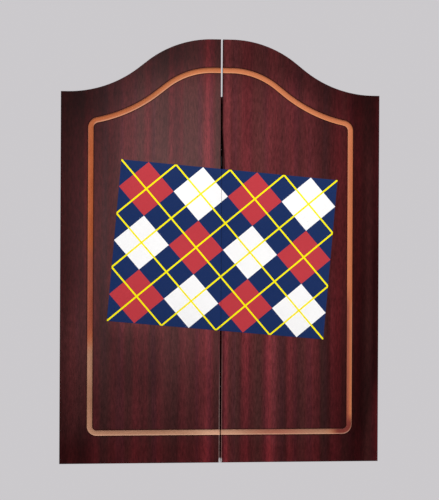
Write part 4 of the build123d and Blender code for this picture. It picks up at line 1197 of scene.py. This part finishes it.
def flight_mat(name, c0, c1):
    m = Mat(name)
    x, y, z = m.xyz()
    band = m.mth("PINGPONG", m.mul(z, 95.0), 1.0)
    g = m.noise(m.vmul(m.obj(), (700, 700, 700)), 1.0, 2.0)
    col = m.mix(m.ss(band, 0.42, 0.58), c0, c1)
    wear = m.noise(m.vmul(m.obj(), (160, 160, 60)), 1.0, 3.0, 0.6)
    col = m.mix(m.rng(wear, 0.45, 0.75, 0.0, 0.22), col, lin(226, 226, 228))
    return m.set(col=col, rough=m.rng(wear, 0.3, 0.7, 0.24, 0.38), normal=m.bump(g, 0.06, 0.0001), spec=0.45)


frame_wood = mahogany("frame_mahogany", "Z", seed=21.0, gain=1.25, spec=0.16, rough=0.34)
rail_wood = mahogany("rail_mahogany", "X", seed=25.0, gain=1.25, spec=0.16, rough=0.34)
case_wood = mahogany("case_mahogany", "Z", seed=31.0, gain=1.1, spec=0.07, rough=0.46)
case_wood_x = mahogany("case_mahogany_level", "X", seed=35.0, gain=1.1, spec=0.07, rough=0.50)
for side, _ in SIDES:
    for part in ("outer_stile", "meeting_stile"):
        soften(f"{side}_door_{part}", f"{side}_door", frame_wood, 0.6)
    for part in ("top_rail", "bottom_rail"):
        soften(f"{side}_door_{part}", f"{side}_door", rail_wood, 0.6)
    give([f"{side}_door_chalk_ledge"], rail_wood)
    soften(f"{side}_side_panel", "cabinet", case_wood, 0.8)
for end in ("top", "bottom"):
    soften(f"{end}_panel", "cabinet", case_wood_x, 0.8)

pine = pine_mat("pine")
give(["upper_hanging_rail", "lower_hanging_rail"], pine)
give(["back_panel"], hardboard_mat())
give(["backing_felt"], felt_mat())
give(["carcase_dowels"], pine_mat("beech", 0.4))
steel = metal_mat("bright_steel", lin(150, 152, 156), lin(190, 192, 196), 0.40)
ring_wire = metal_mat("ring_wire", lin(206, 208, 212), lin(232, 234, 238), 0.55, scale=240.0)
zinc = metal_mat("zinc_plate", lin(150, 154, 160), lin(196, 200, 204), 0.38, scale=180.0, tarnish=lin(120, 122, 124))
brass = metal_mat("brass", lin(170, 124, 56), lin(206, 164, 92), 0.30, scale=90.0, tarnish=lin(112, 78, 40))
galv = metal_mat("galvanised_band", lin(140, 146, 152), lin(186, 190, 194), 0.42, scale=130.0, brushed=(60, 60, 2400))
black_wire = metal_mat("spider_wire", lin(186, 188, 192), lin(216, 218, 222), 0.50, scale=240.0)
give(["board_bracket"], zinc)
give(["back_panel_brads"], metal_mat("brad_steel", lin(96, 97, 100), lin(142, 143, 147), 0.6, scale=300.0))
give(["hinge_case_leaves", "left_door_hinge_leaves", "right_door_hinge_leaves", "hinge_pins"], brass)
dark_plastic = plastic_mat("catch_plastic", lin(44, 28, 22), lin(60, 40, 32), 0.42)
give(["catch_bodies"], dark_plastic)
give(["catch_magnets"], plastic_mat("ferrite", lin(40, 40, 42), lin(64, 63, 64), 0.7, 1500.0, 0.3))
holder_plastic = plastic_mat("holder_plastic", lin(16, 16, 17), lin(28, 28, 30), 0.36)
for side, _ in SIDES:
    give([f"{side}_door_strikes"], steel)
    soften(f"{side}_door_dart_holder", f"{side}_door", holder_plastic, 0.7)
give(["dartboard_backing"], chipboard_mat())
give(["dartboard_sisal"], sisal_mat())
give(["dartboard_rim_band"], galv)
give(["dartboard_hanging_screw"], zinc)
give(["dartboard_spacers"], plastic_mat("spacer_rubber", lin(22, 22, 22), lin(38, 37, 36), 0.75, 1300.0, 0.25))
give(["number_ring_clips"], steel)
slate = slate_mat()
for side, _ in SIDES:
    give([f"{side}_door_scoreboard"], slate)


# ------------------------------------------------------------------ screws
CROSS = []
for k in range(4):
    c, s = math.cos(k * math.pi / 2), math.sin(k * math.pi / 2)
    for a, b in ((1.0, -0.30), (1.0, 0.30), (0.30, 0.30)):
        CROSS.append((a * c - b * s, a * s + b * c))


def screw_into(bld, place, head_r, head_h, shank_r, length, pan=False):
    """One cross-recess screw, its head's rim at local z = 0, shank along -z."""
    n = 24
    arm = head_r * 0.56
    outer = [(head_r * 0.90 * math.cos(2 * math.pi * k / n), head_r * 0.90 * math.sin(2 * math.pi * k / n)) for k in range(n)]
    cross = [(arm * a, arm * b) for a, b in CROSS]
    pts, tris = cdt([outer, cross], [])
    cen = np.array([pts[list(t)].mean(0) for t in tris])
    hole = in_poly(cen, cross)
    rim = in_poly(cen, outer)
    top = 0.0 if not pan else head_h
    dome = 0.18 if pan else 0.06
    b = len(bld.v)
    for p in pts:
        r = math.hypot(*p) / head_r
        bld.v.append((place @ Vector((p[0], p[1], top - dome * r * r))) * MM)
    for t, h, ok in zip(tris, hole, rim):
        if ok and not h:
            bld.cap([b + i for i in t])
    # recess walls and floor
    depth = head_h * (0.8 if not pan else 0.62)
    up = [int(np.argmin(np.hypot(pts[:, 0] - q[0], pts[:, 1] - q[1]))) for q in cross]
    low = []
    for q in cross:
        bld.v.append((place @ Vector((q[0] * 0.72, q[1] * 0.72, top - depth))) * MM)
        low.append(len(bld.v) - 1)
    for k in range(12):
        k2 = (k + 1) % 12
        bld.cap([b + up[k], b + up[k2], low[k2], low[k]])
    bld.cap(low)
    # head side and shank
    ring = [int(np.argmin(np.hypot(pts[:, 0] - q[0], pts[:, 1] - q[1]))) for q in outer]
    if pan:
        prof = [(head_r * 0.99, head_h * 0.35), (head_r, 0.0), (shank_r, 0.0)]
    else:
        prof = [(head_r, -0.10), (head_r, -0.16), (shank_r * 1.05, -head_h)]
    prof += [(shank_r, -length * 0.72), (shank_r * 0.45, -length * 0.93)]
    rows = [[b + i for i in ring]]
    for r, z in prof:
        row = []
        for k in range(n):
            a = 2 * math.pi * k / n
            bld.v.append((place @ Vector((r * math.cos(a), r * math.sin(a), z))) * MM)
            row.append(len(bld.v) - 1)
        rows.append(row)
    for p, q in zip(rows[:-1], rows[1:]):
        for k in range(n):
            k2 = (k + 1) % n
            bld.cap([p[k], p[k2], q[k2], q[k]])
    bld.v.append((place @ Vector((0, 0, -length))) * MM)
    tip = len(bld.v) - 1
    for k in range(n):
        bld.cap([rows[-1][k], rows[-1][(k + 1) % n], tip])


def screw_set(node, body, mat):
    bld = Build()
    for i, (a, b) in enumerate(islands(node)):
        a, b = a * 1000, b * 1000
        c = (a + b) / 2
        size = b - a
        spin = (math.cos(0.7 + i * 1.9), 0.0, math.sin(0.7 + i * 1.9))
        if size[2] > size[1]:                      # catch screws stand upright
            s = 1 if c[2] > 0 else -1
            place = frame_to((c[0], c[1], a[2] if s > 0 else b[2]), (0, 0, -s), (spin[0], spin[2], 0))
        elif node.endswith("door_screws"):         # heads towards the case
            place = frame_to((c[0], b[1], c[2]), (0, 1, 0), spin)
        elif node == "bracket_screws":
            place = frame_to((c[0], a[1] + 1.8, c[2]), (0, -1, 0), spin)
        else:
            place = frame_to((c[0], a[1], c[2]), (0, -1, 0), spin)
        if node == "bracket_screws":
            screw_into(bld, place, 3.35, 1.75, 1.65, 6.6, pan=True)
        else:
            screw_into(bld, place, 2.38, 0.9, 1.48, 12.9)
    bld.make(node.replace("screws", "cross_screws"), [mat], body, [node], 30.0)


screw_brass = metal_mat("screw_brass", lin(182, 138, 66), lin(214, 174, 104), 0.26, scale=300.0)
screw_zinc = metal_mat("screw_zinc", lin(150, 154, 160), lin(196, 200, 204), 0.32, scale=300.0)
screw_set("case_hardware_screws", "cabinet", screw_brass)
screw_set("left_door_screws", "left_door", screw_brass)
screw_set("right_door_screws", "right_door", screw_brass)
screw_set("bracket_screws", "cabinet", screw_zinc)

# ------------------------------------------------------------------ dart board wires
FACE = 50.5


def ring_path(r, y, n):
    return [(r * math.cos(2 * math.pi * k / n), -y, r * math.sin(2 * math.pi * k / n)) for k in range(n)]


spider = Build()
for r in (6.35, 15.9, 99.0, 107.0, 162.0, 170.0):
    spider.tube(ring_path(r, FACE + 0.6, max(28, int(r * 1.1))), 0.6, 8, closed=True)
for k in range(20):
    a = math.radians(9 + 18 * k)
    c, s = math.cos(a), math.sin(a)
    spider.tube([(r * c, -(FACE + 0.6), r * s) for r in (15.9, 60, 99, 107, 135, 162, 170)], 0.6, 8)
spider.make("wire_spider", [black_wire], "dartboard", ["dartboard_spider"], 50.0)

hoop = Build()
hoop.tube(ring_path(217.0, FACE + 1.0, 180), 1.0, 10, closed=True)
hoop.make("number_hoop", [ring_wire], "dartboard", ["number_ring_hoop"], 50.0)

GLYPHS = {
    "0": (True, [(0, .5), (.19, .40), (.26, .12), (.26, -.12), (.19, -.40), (0, -.5), (-.19, -.40), (-.26, -.12), (-.26, .12), (-.19, .40)]),
    "1": (False, [(-.14, .30), (-.02, .40), (.06, .5), (.06, .2), (.06, -.5)]),
    "2": (False, [(-.25, .24), (-.18, .43), (0, .5), (.2, .42), (.25, .22), (.15, .02), (-.05, -.22), (-.26, -.5), (.27, -.5)]),
    "3": (False, [(-.24, .30), (-.14, .46), (.02, .5), (.2, .42), (.24, .25), (.16, .09), (-.02, .04), (.18, -.04), (.26, -.22), (.18, -.42), (0, -.5), (-.16, -.46), (-.26, -.28)]),
    "4": (False, [(.12, -.5), (.12, .5), (-.27, -.16), (.28, -.16)]),
    "5": (False, [(.22, .5), (-.19, .5), (-.22, .08), (-.05, .15), (.14, .12), (.26, -.06), (.25, -.28), (.1, -.46), (-.08, -.5), (-.26, -.36)]),
    "6": (False, [(.2, .42), (.06, .5), (-.12, .42), (-.24, .14), (-.26, -.16), (-.18, -.42), (0, -.5), (.18, -.42), (.26, -.2), (.18, .02), (0, .08), (-.18, 0), (-.25, -.14)]),
    "7": (False, [(-.26, .5), (.26, .5), (.06, .05), (-.08, -.5)]),
    "8": (True, [(0, .06), (-.19, .16), (-.22, .32), (-.12, .47), (0, .5), (.12, .47), (.22, .32), (.19, .16), (0, .06), (-.22, -.06), (-.26, -.26), (-.16, -.45), (0, -.5), (.16, -.45), (.26, -.26), (.22, -.06)]),
}
GLYPHS["9"] = (False, [(-x, -z) for x, z in GLYPHS["6"][1]])
SHARP = {"1": (2,), "2": (7,), "4": (1, 2), "5": (1, 2), "7": (1,), "3": (6,)}


def smooth_glyph(ch, steps=5):
    """Catmull-Rom through a glyph's points, with its corners kept."""
    closed, pts = GLYPHS[ch]
    n = len(pts)
    sharp = SHARP.get(ch, ())
    out = []
    for i in range(n if closed else n - 1):
        p1, p2 = pts[i], pts[(i + 1) % n]
        p0 = pts[i - 1] if (closed or i > 0) and i not in sharp else p1
        j = (i + 2) % n if closed else i + 2
        p3 = pts[j] if (closed or j < n) and (i + 1) % n not in sharp else p2
        straight = ch in "47" or (p0 == p1 and p3 == p2)
        for k in range(steps if not straight else 2):
            t = k / (steps if not straight else 2)
            if straight:
                out.append((p1[0] + (p2[0] - p1[0]) * t, p1[1] + (p2[1] - p1[1]) * t))
                continue
            out.append(tuple(0.5 * (2 * p1[c] + (p2[c] - p0[c]) * t + (2 * p0[c] - 5 * p1[c] + 4 * p2[c] - p3[c]) * t * t
                                    + (3 * p1[c] - p0[c] - 3 * p2[c] + p3[c]) * t ** 3) for c in (0, 1)))
    if not closed:
        out.append(pts[-1])
    return closed, out


numbers = (20, 1, 18, 4, 13, 6, 10, 15, 2, 17, 3, 19, 7, 16, 8, 11, 14, 9, 12, 5)
wire = Build()
for i, number in enumerate(numbers):
    turn = Matrix.Rotation(math.radians(18.0 * i), 4, "Y")
    digits = str(number)
    for k, ch in enumerate(digits):
        shift = (k - (len(digits) - 1) / 2) * 17.0
        closed, pts = smooth_glyph(ch)
        path = [(x * 21.5 + shift, -(FACE + 0.95), z * 23.2 + 197.0) for x, z in pts]
        wire.tube(path, 0.9, 8, closed=closed, place=turn)
        top = max(pts, key=lambda q: (round(q[1], 2), -abs(q[0])))
        tx = (0.0 if ch in "57" else top[0]) * 21.5 + shift
        wire.tube([(tx, -(FACE + 0.95), 208.4), (tx, -(FACE + 0.95), 212.5), (tx, -(FACE + 0.95), 216.4)], 0.7, 8, place=turn)
wire.make("wire_numerals", [ring_wire], "dartboard", ["number_ring_numerals"], 60.0)

# ------------------------------------------------------------------ scoreboards
lines = chalk_line_mat()


def flat_strip(bld, path, width, near, far, closed=False):
    """A painted line: a thin flat strip in the XZ plane between two depths (mm from the wall)."""
    pts = [Vector((p[0], p[1])) for p in path]
    m = len(pts)
    rows = []
    for i, p in enumerate(pts):
        if closed:
            t = pts[(i + 1) % m] - pts[i - 1]
        else:
            t = pts[min(i + 1, m - 1)] - pts[max(i - 1, 0)]
        t.normalize()
        nn = Vector((-t.y, t.x)) * (width / 2)
        a, b = p + nn, p - nn
        rows.append([(a.x, -near, a.y), (b.x, -near, b.y), (b.x, -far, b.y), (a.x, -far, a.y)])
    b = bld.grid(rows, closed_u=closed, closed_v=True)
    if not closed:
        bld.cap([b, b + 1, b + 2, b + 3])
        q = b + (m - 1) * 4
        bld.cap([q, q + 1, q + 2, q + 3])


for side, sgn in SIDES:
    lo_s, hi_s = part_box(f"{side}_door_scoreboard")
    x0, x1, z0, z1 = lo_s.x * 1000, hi_s.x * 1000, lo_s.z * 1000, hi_s.z * 1000
    y_face = -hi_s.y * 1000
    near, far = y_face - 0.14, y_face + 0.0
    cx = (x0 + x1) / 2
    w = x1 - x0
    bld = Build()
    m_in = 7.0
    frame_pts = [(x0 + m_in, z0 + m_in), (x1 - m_in, z0 + m_in), (x1 - m_in, z1 - m_in), (x0 + m_in, z1 - m_in)]
    flat_strip(bld, chain(*[seg(frame_pts[k], frame_pts[(k + 1) % 4], 40.0) for k in range(4)])[:-1], 1.5, near, far, closed=True)
    head = z1 - 46.0
    for dx in (-24.0, 24.0):
        flat_strip(bld, seg((cx + dx, z0 + m_in + 1.2), (cx + dx, head - 1.2), 40.0), 1.2, near, far)
    flat_strip(bld, seg((x0 + m_in + 1.2, head), (x1 - m_in - 1.2, head), 40.0), 1.2, near, far)
    rows_n = ("20", "19", "18", "17", "16", "15", "b")
    step = (head - (z0 + m_in)) / len(rows_n)
    for i, label in enumerate(rows_n):
        zc = head - (i + 0.5) * step
        if i:
            for a, b in ((x0 + m_in + 1.2, cx - 25.0), (cx + 25.0, x1 - m_in - 1.2)):
                flat_strip(bld, seg((a, head - i * step), (b, head - i * step), 40.0), 0.5, near, far)
        if label == "b":
            for r in (5.0, 11.0):
                flat_strip(bld, [(cx + r * math.cos(a), zc + r * math.sin(a)) for a in np.linspace(0, 2 * math.pi, 40)[:-1]],
                           1.6, near, far, closed=True)
            continue
        for k, ch in enumerate(label):
            shift = (k - 0.5) * 16.0
            closed, pts = smooth_glyph(ch, 6)
            # seen from the case side, so its x runs the other way
            flat_strip(bld, [(cx - (x * 19.0 + shift), zc + z * 24.0) for x, z in pts], 2.2, near, far, closed=closed)
    bld.make(f"{side}_scoreboard_lines", [lines], f"{side}_door")

# ------------------------------------------------------------------ darts
barrel_mat = metal_mat("dart_barrel", lin(150, 146, 140), lin(190, 188, 182), 0.28, scale=400.0, brushed=(3000, 3000, 300))
shaft_mat = plastic_mat("dart_shaft", lin(16, 16, 17), lin(30, 30, 32), 0.3, 1800.0)
flights = {"left": flight_mat("flight_red", lin(172, 24, 30), lin(220, 214, 206)),
           "right": flight_mat("flight_blue", lin(22, 58, 132), lin(214, 216, 220))}
for side, sgn in SIDES:
    for place, x in zip(("inner", "middle", "outer"), (186.0, 208.0, 230.0)):
        node = f"{side}_dart_{place}"
        lo_d, hi_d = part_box(node)
        cx, cy = (lo_d.x + hi_d.x) * 500, (lo_d.y + hi_d.y) * 500
        zero = hi_d.z * 1000 - 42.0
        at = Matrix.Translation((cx, cy, zero))
        body = Build()
        # point and barrel
        body.lathe([(0, -107.0), (0.35, -105.8), (0.8, -103.4), (1.12, -101.0), (1.14, -98.0), (1.14, -75.6), (1.14, -74.4), (0, -74.4)], 16, 0, at)
        prof = [(0, -75.0), (1.9, -75.0), (2.0, -74.6), (2.7, -71.0), (3.2, -68.2), (3.36, -67.0), (3.36, -64.6)]
        z = -64.0
        while z < -40.0:
            prof += [(3.0, z), (3.0, z + 0.35), (3.36, z + 0.6), (3.36, z + 1.15)]
            z += 1.5
        prof += [(3.36, -38.2), (3.36, -36.2), (3.0, -33.6), (2.58, -30.6), (2.45, -30.0), (0, -30.0)]
        body.lathe(prof, 24, 1, at)
        # shaft with a collar and a tapering stem, split at the flights
        body.lathe([(0, -30.5), (1.9, -30.5), (2.15, -29.9), (2.15, -26.5), (1.75, -25.8), (1.75, -24.0), (2.1, -23.4), (2.1, -12.0),
                    (1.9, -4.0), (2.15, -2.0), (2.15, 10.5), (1.7, 13.6), (0, 13.9)], 20, 2, at)
        # four wings: smooth outlines within the CAD ones
        out = [(2.0, 0.4), (5.2, 4.2), (8.6, 8.3), (11.4, 11.8), (12.55, 14.2), (12.9, 18.0), (12.9, 31.0), (12.6, 35.0),
               (11.4, 38.2), (9.2, 40.4), (6.4, 41.4), (2.0, 41.7), (0.4, 41.7)]
        for q in range(4):
            a = math.radians(45 + 90 * q)
            dx, dy = math.cos(a), math.sin(a)
            nx, ny = -dy, dx
            front, back = [], []
            for r, zz in out:
                t = 0.16
                front.append((r * dx + nx * t, r * dy + ny * t, zz))
                back.append((r * dx - nx * t, r * dy - ny * t, zz))
            core_f = (0.3 * dx + nx * 0.16, 0.3 * dy + ny * 0.16, 0.4)
            core_b = (0.3 * dx - nx * 0.16, 0.3 * dy - ny * 0.16, 0.4)
            loop_f, loop_b = [core_f] + front, [core_b] + back
            b = len(body.v)
            k = len(loop_f)
            for p in loop_f + loop_b:
                body.v.append((at @ Vector(p)) * MM)
            body.cap([b + i for i in range(k)], 3)
            body.cap([b + k + i for i in range(k)][::-1], 3)
            for i in range(k):
                i2 = (i + 1) % k
                body.cap([b + i, b + i2, b + k + i2, b + k + i], 3)
        body.make(node + "_detailed", [steel, barrel_mat, shaft_mat, flights[side]], node, [node], 30.0)

# ------------------------------------------------------------------ stage
def floor_mat():
    m = Mat("floor_paint")
    n = m.noise(m.vmul(m.obj(), (3, 3, 3)), 1.0, 4.0)
    f = m.noise(m.vmul(m.obj(), (60, 60, 60)), 1.0, 3.0)
    return m.set(col=m.mix(n, lin(224, 222, 224), lin(232, 230, 231)), rough=0.8, normal=m.bump(f, 0.05, 0.001), spec=0.1)


me = bpy.data.meshes.new("floor")
N = 96
R = 5.0
me.from_pydata([(0, 0, -1.73)] + [(R * math.cos(2 * math.pi * i / N), R * math.sin(2 * math.pi * i / N), -1.73) for i in range(N)],
               [], [(0, 1 + i, 1 + (i + 1) % N) for i in range(N)])
floor = bpy.data.objects.new("floor", me)
me.materials.append(floor_mat())
coll.objects.link(floor)

# a pale backdrop colour behind everything, and a dimmer even light from all round
world = bpy.data.worlds.new("studio")
scene.world = world
world.use_nodes = True
wt = world.node_tree
wt.nodes.clear()
w_out = wt.nodes.new("ShaderNodeOutputWorld")
w_mix = wt.nodes.new("ShaderNodeMixShader")
w_path = wt.nodes.new("ShaderNodeLightPath")
w_far = wt.nodes.new("ShaderNodeBackground")
w_near = wt.nodes.new("ShaderNodeBackground")
w_far.inputs[0].default_value = (0.130, 0.130, 0.134, 1.0)
w_near.inputs[0].default_value = (0.600, 0.585, 0.605, 1.0)
wt.links.new(w_path.outputs["Is Camera Ray"], w_mix.inputs[0])
wt.links.new(w_far.outputs[0], w_mix.inputs[1])
wt.links.new(w_near.outputs[0], w_mix.inputs[2])
wt.links.new(w_mix.outputs[0], w_out.inputs[0])


def area(name, loc, target, size, power, color=(1, 1, 1), size_y=None):
    l = bpy.data.lights.new(name, "AREA")
    l.energy = power
    l.color = color
    l.size = size
    if size_y:
        l.shape = "RECTANGLE"
        l.size_y = size_y
    o = bpy.data.objects.new(name, l)
    o.location = loc
    o.rotation_euler = (Vector(target) - Vector(loc)).to_track_quat("-Z", "Y").to_euler()
    o.visible_camera = False
    coll.objects.link(o)
    return o


area("key", (-1.2, -2.6, 3.0), (0, -0.1, 0), 2.2, 138.0)
area("fill", (2.6, -2.4, 0.9), (0, -0.1, 0), 1.8, 57.0)
area("back", (0.25, 2.3, 2.2), (0, 0, -0.05), 1.8, 165.0)


# ------------------------------------------------------------------ camera
def set_camera(f_px, pos_mm, yaw, pitch, roll):
    cam = bpy.data.cameras.new("camera")
    cam.sensor_width = 36.0
    cam.lens = f_px * 36.0 / 500.0
    cam.clip_start, cam.clip_end = 0.01, 100.0
    o = bpy.data.objects.new("camera", cam)
    coll.objects.link(o)
    y, p, r = (math.radians(a) for a in (yaw, pitch, roll))
    fwd = Vector((math.sin(y) * math.cos(p), math.cos(y) * math.cos(p), math.sin(p)))
    right = Vector((math.cos(y), -math.sin(y), 0))
    up = right.cross(fwd)
    r2 = math.cos(r) * right + math.sin(r) * up
    u2 = -math.sin(r) * right + math.cos(r) * up
    o.matrix_world = Matrix(((r2.x, u2.x, -fwd.x, pos_mm[0] * MM), (r2.y, u2.y, -fwd.y, pos_mm[1] * MM),
                             (r2.z, u2.z, -fwd.z, pos_mm[2] * MM), (0, 0, 0, 1)))
    scene.camera = o


set_camera(1200.0, (-167.4, -2085.9, 49.4), 4.71, -0.09, 0.28)
scene.view_settings.view_transform = "Standard"
scene.view_settings.look = "None"
